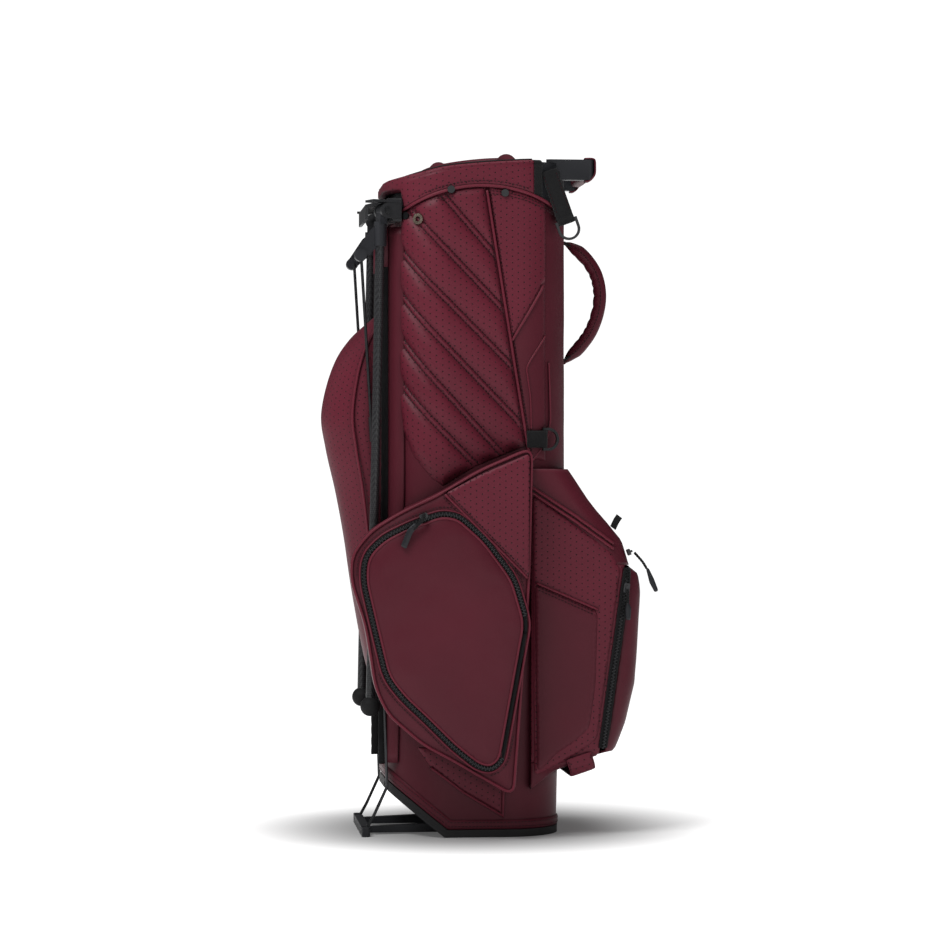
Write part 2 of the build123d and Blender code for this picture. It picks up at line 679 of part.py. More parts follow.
upper_plane = Plane(origin=(110.2, -98, 808.2), x_dir=(0.941, 0, 0.337), z_dir=(0, -1, 0))
with BuildPart() as near_upper_ring:
    add(ring_part(upper_plane, 30, 26))
with BuildPart() as near_upper_webbing:
    add(loop_part(upper_plane, 22.4, 3, 70))
    with BuildSketch(Plane.XZ.offset(80)):
        with Locations((94, 868)):
            Rectangle(14, 12)
    extrude(amount=17)
    add(bag_solid(GAP, 780, 905), mode=Mode.SUBTRACT)
    add(collar_frame.part, mode=Mode.SUBTRACT)

mid_face = surface_plane(66, 521, 3.8)
mid_plane = Plane(origin=mid_face.origin + mid_face.x_dir * 14, x_dir=(0, 0, 1), z_dir=mid_face.z_dir)
with BuildPart() as near_mid_ring:
    add(ring_part(mid_plane, 30, 21))
with BuildPart() as near_mid_webbing:
    add(loop_part(mid_plane, 22.4, 3, 26))
    add(bag_solid(2.1, 440, 900), mode=Mode.SUBTRACT)

# ---- Stand: foot plate, pins, wires, bracket and legs ----------------------------------------------

foot_arm = [(-150, 2), (-150, 10), (-54, 14), (-45, 15), (-45, 1), (-54, 2)]
with BuildPart() as foot_plate:
    with BuildSketch(Plane.XY):
        with Locations(((FOOT_BAR_X[0] + FOOT_BAR_X[1]) / 2, 0)):
            RectangleRounded(FOOT_BAR_X[1] - FOOT_BAR_X[0], 2 * FOOT_BAR_Y, 4)
    extrude(amount=12)
    for side in (-1, 1):
        add(side_prism(foot_arm, side * FOOT_ARM_Y - 6, side * FOOT_ARM_Y + 6))
        with Locations(Location((FOOT_HINGE[0], side * FOOT_ARM_Y, FOOT_HINGE[1]), (90, 0, 0))):
            Cylinder(7, 12)
            Cylinder(2.56, 30, mode=Mode.SUBTRACT)
        with Locations((WIRE_FOOT[0], side * WIRE_Y, 12)):
            Box(20, 8, 16, mode=Mode.SUBTRACT)
    with Locations(Location((WIRE_FOOT[0], 0, WIRE_FOOT[1]), (90, 0, 0))):
        Cylinder(WIRE_RADIUS + 0.06, 2 * WIRE_Y, mode=Mode.SUBTRACT)

with BuildPart() as foot_hinge_pins:
    for side in (-1, 1):
        with Locations(Location((FOOT_HINGE[0], side * FOOT_ARM_Y, FOOT_HINGE[1]), (90, 0, 0))):
            Cylinder(2.5, 24)

wire_path = [WIRE_FOOT, (-141, 27), (-124, 64), (-128, 200), WIRE_JOINT]
with BuildPart() as wire_lower:
    with Locations(Location((WIRE_FOOT[0], 0, WIRE_FOOT[1]), (90, 0, 0))):
        Cylinder(WIRE_RADIUS, 2 * WIRE_Y)
    for side in (-WIRE_Y, WIRE_Y):
        for start, end in zip(wire_path[:-1], wire_path[1:]):
            add(bar_between((start[0], side, start[1]), (end[0], side, end[1]), WIRE_RADIUS))
        for bend in wire_path[:-1]:
            with Locations((bend[0], side, bend[1])):
                Sphere(WIRE_RADIUS)

upper_run = Vector(WIRE_TOP[0] - WIRE_JOINT[0], 0, WIRE_TOP[1] - WIRE_JOINT[1]).normalized()
joint_point = Vector(WIRE_JOINT[0], -WIRE_Y, WIRE_JOINT[1])
top_point = Vector(WIRE_TOP[0], -WIRE_Y, WIRE_TOP[1])
with BuildPart() as near_wire_upper:
    add(bar_between(joint_point + upper_run * 0.3, top_point, WIRE_RADIUS))
    add(bar_between(joint_point + upper_run * 2, joint_point + upper_run * 34, 3.6))

turn = radians(LEG_TURN)
near_pivot = (LEG_PIVOT[0], -LEG_PIVOT[1], LEG_PIVOT[2])
pivot_plane = Plane(origin=near_pivot, x_dir=(cos(turn), sin(turn), 0), z_dir=(sin(turn), -cos(turn), 0))
housing = [(-152, 811), (-152, 830), (-106, 841.5), (-106, 806), (-121, 806), (-121, 833), (-148, 826), (-148, 811)]

with BuildPart() as clevis_near:
    with BuildSketch(pivot_plane):
        Circle(10)
        with Locations((10, 2)):
            Rectangle(20, 24)
    extrude(amount=11, both=True)
    with BuildSketch(pivot_plane):
        with Locations((-1, 12.5)):
            Rectangle(42, 3)
    extrude(amount=11.5, both=True)
    with Locations((-115, -72, 822)):
        Box(18, 30, 30)
    with BuildSketch(pivot_plane):
        Circle(9.8)
        with Locations((-15, -15)):
            Rectangle(49, 49.6)
    extrude(amount=7, both=True, mode=Mode.SUBTRACT)
    with BuildSketch(pivot_plane):
        Circle(3.0)
    extrude(amount=30, both=True, mode=Mode.SUBTRACT)

with BuildPart() as leg_bracket:
    add(side_prism(housing, -66, 66))
    add(clevis_near.part)
    mirror(clevis_near.part, about=Plane.XZ)
    add(bag_solid(3.4, 780, 900), mode=Mode.SUBTRACT)

with BuildPart() as pin_near:
    with BuildSketch(pivot_plane):
        Circle(3.0)
    extrude(amount=11, both=True)
    with BuildSketch(pivot_plane.offset(11)):
        Circle(4.6)
    extrude(amount=1.6)
with BuildPart() as bracket_pins:
    add(pin_near.part)
    mirror(pin_near.part, about=Plane.XZ)

near_foot = Vector(LEG_FOOT[0], -LEG_FOOT[1], LEG_FOOT[2])
leg_top = Vector(-133.3, -LEG_PIVOT[1], LEG_PIVOT[2])
leg_run = (near_foot - leg_top).normalized()
with BuildPart() as near_leg_head:
    with BuildSketch(pivot_plane):
        Circle(9)
        with Locations((-4, -10)):
            Rectangle(10, 14)
    extrude(amount=6.7, both=True)
    add(bar_between(leg_top + leg_run * 14.5, leg_top + leg_run * 46, 8.5))
    with BuildSketch(Plane.XZ.offset(LEG_PIVOT[1] - 4)):
        with BuildLine():
            Polyline((-134, 806), (-146, 796), (-158, 778), (-166, 766), (-152, 760), (-136, 774), close=True)
        make_face()
    extrude(amount=8)
    with Locations(Location((-160, -85, 762), (90, 0, 0))):
        Cylinder(8, 16)
    with BuildSketch(pivot_plane):
        Circle(3.06)
    extrude(amount=30, both=True, mode=Mode.SUBTRACT)
    add(bar_between(leg_top + leg_run * 20, leg_top + leg_run * 200, LEG_RADIUS), mode=Mode.SUBTRACT)

with BuildPart() as near_leg_tube:
    add(bar_between(leg_top + leg_run * 20.2, near_foot, LEG_RADIUS - 0.05))

with BuildPart() as near_leg_foot:
    with Locations(near_foot):
        Sphere(13)
    add(bar_between(near_foot - leg_run * 40, near_foot, LEG_RADIUS), mode=Mode.SUBTRACT)

# ---- Files -----------------------------------------------------------------------------------------

pieces = {
    "base_boot": base_boot, "body_shell": body_shell, "bottom_hem": bottom_hem, "collar_frame": collar_frame,
    "grab_handle_wrap": grab_handle_wrap, "collar_cuff": collar_cuff, "cuff_binding": cuff_binding,
    "divider_bars": divider_bars, "divider_panels": divider_panels, "stay_rods": stay_rods,
    "collar_rivets": collar_rivets, "snap_eyelets": snap_eyelets, "hip_pad": hip_pad,
    "edge_strips": edge_strips, "ball_pocket_body": ball_pocket_body, "ball_pocket_door": ball_pocket_door,
    "ball_zip": ball_zip, "ball_slider": ball_slider, "ball_slider_pull": ball_slider_pull,
    "top_slider": top_slider, "top_slider_pull": top_slider_pull, "ribbon_tabs": ribbon_tabs,
    "lift_handle": lift_handle, "carry_handle": carry_handle, "handle_webbing": handle_webbing,
    "handle_anchors": handle_anchors, "spine_tabs": spine_tabs, "foot_plate": foot_plate,
    "foot_hinge_pins": foot_hinge_pins, "wire_lower": wire_lower, "leg_bracket": leg_bracket,
    "bracket_pins": bracket_pins,
}
paired_pieces = {
    "side_panels": (near_side_panel, near_side_panel), "front_panels": (near_front_panel, near_front_panel),
    "pocket_zips": (near_pocket_zip, far_pocket_zip), "slip_pockets": (near_slip_pocket, near_slip_pocket),
    "upper_webbing": (near_upper_webbing, near_upper_webbing), "mid_webbing": (near_mid_webbing, near_mid_webbing),
}
near_and_far = {
    "pocket_body": (near_pocket_body, far_pocket_body), "pocket_lid": (near_pocket_lid, far_pocket_lid),
    "zip_slider": (near_zip_slider, near_zip_slider), "zip_pull": (near_zip_pull, near_zip_pull),
    "upper_ring": (near_upper_ring, near_upper_ring), "mid_ring": (near_mid_ring, near_mid_ring),
    "wire_upper": (near_wire_upper, near_wire_upper), "leg_head": (near_leg_head, near_leg_head),
    "leg_tube": (near_leg_tube, near_leg_tube), "leg_foot": (near_leg_foot, near_leg_foot),
}

os.makedirs("parts", exist_ok=True)
for name, piece in pieces.items():
    piece.part.label = name
    export_step(piece.part, f"parts/{name}.step")
for name, (near, other) in paired_pieces.items():
    with BuildPart() as both:
        add(near.part)
        mirror(other.part, about=Plane.XZ)
    both.part.label = name
    export_step(both.part, f"parts/{name}.step")
for name, (near, other) in near_and_far.items():
    near.part.label = f"near_{name}"
    export_step(near.part, f"parts/near_{name}.step")
    with BuildPart() as far:
        mirror(other.part, about=Plane.XZ)
    far.part.label = f"far_{name}"
    export_step(far.part, f"parts/far_{name}.step")
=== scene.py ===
import json
import math

import bpy
import numpy as np
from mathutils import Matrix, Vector, noise
from mathutils.geometry import delaunay_2d_cdt

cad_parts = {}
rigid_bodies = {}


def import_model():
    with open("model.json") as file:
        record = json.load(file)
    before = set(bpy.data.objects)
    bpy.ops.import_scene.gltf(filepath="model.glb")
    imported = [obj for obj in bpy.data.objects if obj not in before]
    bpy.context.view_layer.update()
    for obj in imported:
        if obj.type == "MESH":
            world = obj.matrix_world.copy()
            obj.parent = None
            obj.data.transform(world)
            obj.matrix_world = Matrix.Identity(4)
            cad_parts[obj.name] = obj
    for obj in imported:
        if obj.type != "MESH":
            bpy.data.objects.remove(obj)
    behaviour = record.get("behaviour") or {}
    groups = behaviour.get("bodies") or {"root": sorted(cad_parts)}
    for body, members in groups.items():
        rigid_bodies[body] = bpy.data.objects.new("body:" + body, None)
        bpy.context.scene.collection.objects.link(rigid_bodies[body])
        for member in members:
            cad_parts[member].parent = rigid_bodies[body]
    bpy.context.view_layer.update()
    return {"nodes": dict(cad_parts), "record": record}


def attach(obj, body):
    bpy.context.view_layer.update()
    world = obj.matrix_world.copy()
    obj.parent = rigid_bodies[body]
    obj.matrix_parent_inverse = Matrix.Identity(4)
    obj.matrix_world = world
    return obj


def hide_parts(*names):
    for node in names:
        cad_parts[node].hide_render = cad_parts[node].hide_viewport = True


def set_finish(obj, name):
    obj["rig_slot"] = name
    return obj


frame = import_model()

# Lengths in this script are millimetres in the CAD frame. MM turns them into Blender's metres.
MM = 0.001

# ---- Camera, light and floor ---------------------------------------------------------------------

CAMERA_YAW = math.radians(6)
CAMERA_DISTANCE = 4.0
CAMERA_HEIGHT = 0.474
camera_data = bpy.data.cameras.new("camera")
camera_data.lens = 112.8
camera_data.sensor_width = 36
camera = bpy.data.objects.new("camera", camera_data)
camera.location = (-CAMERA_DISTANCE * math.sin(CAMERA_YAW), -CAMERA_DISTANCE * math.cos(CAMERA_YAW),
                   CAMERA_HEIGHT)
camera.rotation_euler = (math.radians(90), 0, -CAMERA_YAW)
bpy.context.scene.collection.objects.link(camera)
bpy.context.scene.camera = camera


AMBIENT = 0.10           # white light from all round
FLOOR_GLOW = 0.95        # keeps the floor as pale as the backdrop


def area_light(name, location, size, power):
    """Square soft light that faces the middle of the bag."""
    data = bpy.data.lights.new(name, "AREA")
    data.energy = power
    data.size = size
    light = bpy.data.objects.new(name, data)
    light.location = location
    light.rotation_euler = (Vector((0, 0, 0.45)) - Vector(location)).to_track_quat("-Z", "Y").to_euler()
    bpy.context.scene.collection.objects.link(light)


area_light("key", (-0.9, -1.0, 2.1), 0.8, 34)
area_light("fill", (0.7, -3.2, 0.6), 1.8, 12)
area_light("rim", (-2.6, 0.8, 1.6), 1.2, 4)
area_light("top", (0.4, -0.1, 2.8), 1.0, 16)
world = bpy.data.worlds.new("studio")
bpy.context.scene.world = world
world.use_nodes = True
sky = world.node_tree.nodes["Background"]
sky.inputs["Color"].default_value = (1, 1, 1, 1)
sky.inputs["Strength"].default_value = AMBIENT
backdrop = world.node_tree.nodes.new("ShaderNodeBackground")
backdrop.inputs["Color"].default_value = (1, 1, 1, 1)
backdrop.inputs["Strength"].default_value = 1.1
seen = world.node_tree.nodes.new("ShaderNodeLightPath")
blend = world.node_tree.nodes.new("ShaderNodeMixShader")
world.node_tree.links.new(seen.outputs["Is Camera Ray"], blend.inputs[0])
world.node_tree.links.new(sky.outputs[0], blend.inputs[1])
world.node_tree.links.new(backdrop.outputs[0], blend.inputs[2])
world.node_tree.links.new(blend.outputs[0], world.node_tree.nodes["World Output"].inputs["Surface"])
bpy.context.scene.view_settings.view_transform = "Standard"

# ---- Materials -----------------------------------------------------------------------------------


class Shader:
    """A principled material with short calls for its procedural nodes."""

    def __init__(self, name, color, roughness, metallic=0.0, specular=0.5):
        self.material = bpy.data.materials.new(name)
        self.material.use_nodes = True
        self.tree = self.material.node_tree
        self.bsdf = self.tree.nodes["Principled BSDF"]
        self.color = (*color, 1)
        self.bsdf.inputs["Base Color"].default_value = self.color
        self.bsdf.inputs["Roughness"].default_value = roughness
        self.bsdf.inputs["Metallic"].default_value = metallic
        self.bsdf.inputs["Specular IOR Level"].default_value = specular
        self.material.diffuse_color = self.color
        self.coord = self.tree.nodes.new("ShaderNodeTexCoord")
        self.normal = None

    def node(self, kind, **values):
        made = self.tree.nodes.new(kind)
        for key, value in values.items():
            setattr(made, key, value)
        return made

    def link(self, source, target):
        self.tree.links.new(source, target)

    def math(self, operation, a, b=None):
        made = self.node("ShaderNodeMath", operation=operation)
        for socket, value in zip(made.inputs, (a, b)):
            if value is None:
                continue
            if isinstance(value, (int, float)):
                socket.default_value = value
            else:
                self.link(value, socket)
        return made.outputs[0]

    def noise(self, scale, detail=3.0, vector=None, stretch=None):
        made = self.node("ShaderNodeTexNoise")
        made.inputs["Scale"].default_value = scale
        made.inputs["Detail"].default_value = detail
        source = vector or self.coord.outputs["Object"]
        if stretch:
            mapping = self.node("ShaderNodeMapping")
            mapping.inputs["Scale"].default_value = stretch
            self.link(source, mapping.inputs["Vector"])
            source = mapping.outputs["Vector"]
        self.link(source, made.inputs["Vector"])
        return made.outputs["Fac"]

    def creases(self, value, dark, reach, power):
        """Painted shade: the colour darker down in the seams and grooves, where little light comes in."""
        made = self.node("ShaderNodeAmbientOcclusion", samples=8)
        made.inputs["Distance"].default_value = reach
        return self.mix(self.math("POWER", made.outputs["AO"], power), dark, value)

    def ramp(self, value, low, high, low_color, high_color):
        made = self.node("ShaderNodeValToRGB")
        made.color_ramp.elements[0].position = low
        made.color_ramp.elements[0].color = (*low_color, 1)
        made.color_ramp.elements[1].position = high
        made.color_ramp.elements[1].color = (*high_color, 1)
        self.link(value, made.inputs["Fac"])
        return made.outputs["Color"]

    def mix(self, factor, a, b):
        made = self.node("ShaderNodeMix", data_type="RGBA")
        self.link(factor, made.inputs["Factor"])
        for socket, value in ((made.inputs[6], a), (made.inputs[7], b)):
            if isinstance(value, tuple):
                socket.default_value = (*value, 1)
            else:
                self.link(value, socket)
        return made.outputs[2]

    def bump(self, height, distance, strength=1.0):
        made = self.node("ShaderNodeBump")
        made.inputs["Distance"].default_value = distance
        made.inputs["Strength"].default_value = strength
        self.link(height, made.inputs["Height"])
        if self.normal:
            self.link(self.normal, made.inputs["Normal"])
        self.normal = made.outputs["Normal"]
        self.link(self.normal, self.bsdf.inputs["Normal"])

    def vary(self, value, amount, roughness_low, roughness_high):
        """Tone that drifts with the value, and roughness between two ends."""
        darker = tuple(c * (1 - amount) for c in self.color[:3])
        lighter = tuple(c * (1 + amount) for c in self.color[:3])
        tone = self.ramp(value, 0.3, 0.7, darker, lighter)
        rough = self.node("ShaderNodeMapRange")
        rough.inputs["To Min"].default_value = roughness_low
        rough.inputs["To Max"].default_value = roughness_high
        self.link(value, rough.inputs["Value"])
        self.link(rough.outputs["Result"], self.bsdf.inputs["Roughness"])
        return tone

    def worn_edges(self, tone, lift):
        """Lightens convex edges a little, where leather and plastic rub."""
        geometry = self.node("ShaderNodeNewGeometry")
        edge = self.ramp(geometry.outputs["Pointiness"], 0.52, 0.62, (0, 0, 0), (lift, lift, lift))
        worn = tuple(min(1.0, c * 1.9 + 0.02) for c in self.color[:3])
        return self.mix(edge, tone, worn)

    def paint(self, tone):
        self.link(tone, self.bsdf.inputs["Base Color"])


HOLE_U = 15.2 * MM        # staggered lattice of the perforations
HOLE_V = 8.4 * MM
HOLE_RADIUS = 0.85 * MM


def leather(name, color, perforated=False):
    """Grained synthetic leather; perforated leather takes its holes from the UV map, in metres."""
    made = Shader(name, color, 0.46, specular=0.15)
    tone = made.vary(made.noise(7, 3), 0.10, 0.40, 0.54)
    tone = made.worn_edges(tone, 0.35)
    # painted shade: ambient occlusion darkens the leather in seams, grooves and under the piping
    tone = made.creases(tone, (0.016, 0.0022, 0.004), 0.016, 1.3)
    pores = made.node("ShaderNodeTexVoronoi", feature="SMOOTH_F1")
    pores.inputs["Scale"].default_value = 1150
    made.link(made.coord.outputs["Object"], pores.inputs["Vector"])
    made.bump(pores.outputs["Distance"], 0.00012, 0.55)
    made.bump(made.noise(330, 4), 0.0002, 0.35)
    if perforated:
        split = made.node("ShaderNodeSeparateXYZ")
        made.link(made.coord.outputs["UV"], split.inputs[0])
        u = made.math("DIVIDE", split.outputs["X"], HOLE_U)
        v = made.math("DIVIDE", split.outputs["Y"], HOLE_V)
        gaps = []
        for shift in (0.0, 0.5):
            du = made.math("SUBTRACT", made.math("FRACT", made.math("ADD", u, 1000 + shift)), 0.5)
            dv = made.math("SUBTRACT", made.math("FRACT", made.math("ADD", v, 1000 + shift)), 0.5)
            du = made.math("MULTIPLY", du, HOLE_U)
            dv = made.math("MULTIPLY", dv, HOLE_V)
            gaps.append(made.math("SQRT", made.math("ADD", made.math("MULTIPLY", du, du),
                                                    made.math("MULTIPLY", dv, dv))))
        near = made.math("MINIMUM", gaps[0], gaps[1])
        hole = made.node("ShaderNodeMapRange", interpolation_type="SMOOTHSTEP")
        hole.inputs["From Min"].default_value = HOLE_RADIUS * 1.25
        hole.inputs["From Max"].default_value = HOLE_RADIUS * 0.75
        made.link(near, hole.inputs["Value"])
        tone = made.mix(hole.outputs["Result"], tone, (0.008, 0.003, 0.004))
        deep = made.math("MULTIPLY", hole.outputs["Result"], -1.0)
        made.bump(deep, 0.0006, 0.8)
    made.paint(tone)
    return made.material


def woven(name, color, rib):
    """Woven tape with ribs across and along, in the three directions of the object's coordinates."""
    made = Shader(name, color, 0.85, specular=0.15)
    made.bsdf.inputs["Sheen Weight"].default_value = 0.08
    tone = made.vary(made.noise(60, 4), 0.25, 0.75, 0.95)
    made.paint(tone)
    for direction in ("X", "Y", "Z"):
        wave = made.node("ShaderNodeTexWave", bands_direction=direction)
        wave.inputs["Scale"].default_value = 0.314 / rib
        wave.inputs["Distortion"].default_value = 0.4
        made.link(made.coord.outputs["Object"], wave.inputs["Vector"])
        made.bump(wave.outputs["Fac"], 0.00025, 0.35)
    return made.material


def moulded(name, color, low, high, grain=0.00008, specular=0.45):
    """Moulded plastic or rubber with a fine spark texture and rubbed edges."""
    made = Shader(name, color, 0.5, specular=specular)
    tone = made.vary(made.noise(14, 4), 0.14, low, high)
    made.paint(made.worn_edges(tone, 0.3))
    made.bump(made.noise(1500, 2), grain, 0.6)
    return made.material


def metal(name, color, low, high, metallic=1.0):
    """Metal with fine drawn lines and a little tarnish."""
    made = Shader(name, color, low, metallic)
    made.paint(made.vary(made.noise(120, 3), 0.12, low, high))
    made.bump(made.noise(900, 2, stretch=(1, 1, 0.1)), 0.00004, 0.5)
    return made.material


def carbon_twill(name):
    """Lacquered carbon tube: dark twill blocks under a clear coat."""
    made = Shader(name, (0.012, 0.0125, 0.013), 0.4, specular=0.3)
    made.bsdf.inputs["Coat Weight"].default_value = 0.1
    made.bsdf.inputs["Coat Roughness"].default_value = 0.18
    checker = made.node("ShaderNodeTexChecker")
    checker.inputs["Scale"].default_value = 420
    checker.inputs["Color1"].default_value = (0.006, 0.006, 0.007, 1)
    checker.inputs["Color2"].default_value = (0.024, 0.024, 0.026, 1)
    mapping = made.node("ShaderNodeMapping")
    mapping.inputs["Rotation"].default_value = (0.6, 0.78, 0)
    made.link(made.coord.outputs["Object"], mapping.inputs["Vector"])
    made.link(mapping.outputs["Vector"], checker.inputs["Vector"])
    made.paint(checker.outputs["Color"])
    made.bump(checker.outputs["Fac"], 0.00005, 0.4)
    return made.material


MAROON = (0.082, 0.0094, 0.0185)
LEATHER = leather("maroon_leather", [tone * 0.82 for tone in MAROON])
PERFORATED = leather("perforated_leather", [tone * 1.12 for tone in MAROON], perforated=True)
# piping leather made lighter than the plain leather: a painted highlight along the raised piping
PIPING_PAINTED_HIGHLIGHT = leather("piping_leather", (0.105, 0.0125, 0.0235))
WEBBING = woven("black_webbing", (0.006, 0.006, 0.0065), 0.0016)
ZIP_TAPE = woven("zip_tape", (0.005, 0.005, 0.0055), 0.0009)
LINING = woven("lining_cloth", (0.022, 0.022, 0.025), 0.0007)
PLASTIC = moulded("moulded_plastic", (0.010, 0.0105, 0.013), 0.34, 0.5, specular=0.22)
BOOT = moulded("boot_plastic", (0.009, 0.009, 0.0095), 0.5, 0.68, specular=0.25)
BRACKET = moulded("bracket_plastic", (0.008, 0.0082, 0.0095), 0.26, 0.4, specular=0.3)
RUBBER = moulded("black_rubber", (0.007, 0.007, 0.0075), 0.6, 0.8, 0.00012, 0.2)
ZIP_METAL = metal("zip_metal", (0.03, 0.03, 0.032), 0.3, 0.45, 0.7)
BLACK_STEEL = metal("black_steel", (0.035, 0.036, 0.038), 0.25, 0.4, 0.8)
PIN_STEEL = metal("pin_steel", (0.42, 0.42, 0.43), 0.25, 0.4)
NICKEL = metal("nickel", (0.62, 0.50, 0.40), 0.16, 0.3)
CARBON = carbon_twill("carbon_twill")
STITCH = Shader("stitch_thread", (0.018, 0.0027, 0.005), 0.6, specular=0.2).material
DARK_STITCH = Shader("black_thread", (0.01, 0.01, 0.01), 0.7).material

# ---- Mesh helpers --------------------------------------------------------------------------------


def mesh_piece(name, points, faces, material, body, node_slot, uv=None, smooth=True):
    """Mesh from points in millimetres, riding on a body. uv is one pair per point, in millimetres."""
    data = bpy.data.meshes.new(name)
    data.from_pydata((np.asarray(points, float) * MM).tolist(), [], [list(map(int, f)) for f in faces])
    data.materials.append(material)
    if uv is not None:
        layer = data.uv_layers.new(name="flat")
        index = np.empty(len(data.loops), int)
        data.loops.foreach_get("vertex_index", index)
        layer.data.foreach_set("uv", (np.asarray(uv, float)[index] * MM).astype(np.float32).ravel())
    data.polygons.foreach_set("use_smooth", [smooth] * len(data.polygons))
    data.update()
    piece = bpy.data.objects.new(name, data)
    bpy.context.scene.collection.objects.link(piece)
    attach(piece, body)
    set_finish(piece, node_slot)
    return piece


NARROW_FROM, NARROW_BY = -60.0, 0.8       # the far pocket is drawn in towards the spine


def other_side(piece, body="bag", narrow=False, node=None):
    """Copy of a near-side piece, mirrored to the far side, and drawn in where the far pocket is narrower.

    With a node, the piece and its copy both stand for that CAD node.
    """
    data = piece.data.copy()
    count = len(data.vertices)
    place = np.empty(count * 3, np.float32)
    data.vertices.foreach_get("co", place)
    place = place.reshape(-1, 3) * (1, -1, 1)
    if narrow:
        start = NARROW_FROM * MM
        place[:, 0] = np.where(place[:, 0] < start, start + (place[:, 0] - start) * NARROW_BY, place[:, 0])
    data.vertices.foreach_set("co", place.astype(np.float32).ravel())
    data.flip_normals()
    data.update()
    twin = bpy.data.objects.new(piece.name.replace("near_", "far_"), data)
    bpy.context.scene.collection.objects.link(twin)
    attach(twin, body)
    if "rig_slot" in piece:
        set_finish(twin, piece["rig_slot"])
    if node:
        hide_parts(node)
        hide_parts(node)
    return twin


def spline(points, count, closed=False):
    """Smooth curve through the points (Catmull-Rom), resampled to even steps."""
    p = np.asarray(points, float)
    n = len(p)
    if closed:
        before, here, after, beyond = np.roll(p, 1, 0), p, np.roll(p, -1, 0), np.roll(p, -2, 0)
    else:
        padded = np.vstack([2 * p[0] - p[1], p, 2 * p[-1] - p[-2]])
        before, here, after, beyond = padded[:-3], padded[1:-2], padded[2:-1], padded[3:]
    t = np.linspace(0, 1, 24, endpoint=False)[None, :, None]
    a, b, c, d = (x[:, None, :] for x in (before, here, after, beyond))
    curve = 0.5 * (2 * b + (c - a) * t + (2 * a - 5 * b + 4 * c - d) * t ** 2 + (3 * b - a - 3 * c + d) *
                   t ** 3)
    curve = curve.reshape(-1, p.shape[1])
    curve = np.vstack([curve, curve[:1] if closed else p[-1:]])
    steps = np.concatenate([[0], np.cumsum(np.linalg.norm(np.diff(curve, axis=0), axis=1))])
    wanted = np.linspace(0, steps[-1], count, endpoint=not closed)
    return np.stack([np.interp(wanted, steps, curve[:, k]) for k in range(p.shape[1])], 1)


def resample(points, spacing, closed=False):
    """Straight runs resampled to about the given spacing."""
    p = np.asarray(points, float)
    if closed:
        p = np.vstack([p, p[:1]])
    steps = np.concatenate([[0], np.cumsum(np.linalg.norm(np.diff(p, axis=0), axis=1))])
    count = max(2, int(round(steps[-1] / spacing)) + (0 if closed else 1))
    wanted = np.linspace(0, steps[-1], count, endpoint=not closed)
    return np.stack([np.interp(wanted, steps, p[:, k]) for k in range(p.shape[1])], 1)


def tube_mesh(path, radius, sides=10, closed=False, flat=1.0, up=None):
    """Points and faces of a tube along a path; flat squeezes it along its second direction."""
    path = np.asarray(path, float)
    count = len(path)
    tangent = np.gradient(path, axis=0) if not closed else np.roll(path, -1, 0) - np.roll(path, 1, 0)
    tangent /= np.linalg.norm(tangent, axis=1)[:, None] + 1e-12
    up = np.array([0, 1, 0.0]) if up is None else np.asarray(up, float)
    side = np.cross(tangent, up)
    weak = np.linalg.norm(side, axis=1) < 1e-3
    side[weak] = np.cross(tangent[weak], (0.0, 0.3, 1.0))
    side /= np.linalg.norm(side, axis=1)[:, None]
    over = np.cross(side, tangent)
    angle = np.linspace(0, 2 * math.pi, sides, endpoint=False)
    radius = np.broadcast_to(np.asarray(radius, float), (count,))[:, None, None]
    ring = (np.cos(angle)[None, :, None] * side[:, None, :] +
            flat * np.sin(angle)[None, :, None] * over[:, None, :]) * radius
    points = (path[:, None, :] + ring).reshape(-1, 3)
    faces = []
    last = count if closed else count - 1
    for i in range(last):
        j = (i + 1) % count
        for k in range(sides):
            m = (k + 1) % sides
            faces.append((i * sides + k, i * sides + m, j * sides + m, j * sides + k))
    if not closed:
        faces.append(tuple(range(sides - 1, -1, -1)))
        faces.append(tuple((count - 1) * sides + k for k in range(sides)))
    return points, faces


def tube_piece(name, path, radius, material, body, node_slot, **shape):
    points, faces = tube_mesh(path, radius, **shape)
    return mesh_piece(name, points, faces, material, body, node_slot)


def grid_faces(rows, columns, around=False):
    """Four-cornered faces of a grid of points; around joins the end of each row to its start."""
    faces = []
    for i in range(rows - 1):
        for k in range(columns if around else columns - 1):
            after = (k + 1) % columns
            faces.append((i * columns + k, i * columns + after, (i + 1) * columns + after,
                          (i + 1) * columns + k))
    return faces


def at_depth(line, y):
    """Places at one Y, from the X and Z of a line."""
    return np.stack([line[:, 0], np.full(len(line), y), line[:, 1]], 1)


def level(height):
    """A pillow's side at one height all over."""
    return lambda flat, distance: np.full(len(flat), height)


def puffed(low, lift, reach, power=1.4):
    """A pillow's side that rises by lift from its edge, over about the given reach."""
    return lambda flat, distance: low + lift * (1 - np.exp(-(distance / reach) ** power))


def joined(parts):
    """Several (points, faces) meshes as one."""
    points, faces, offset = [], [], 0
    for p, f in parts:
        points.append(np.asarray(p, float))
        faces.extend(tuple(i + offset for i in face) for face in f)
        offset += len(p)
    return np.vstack(points), faces


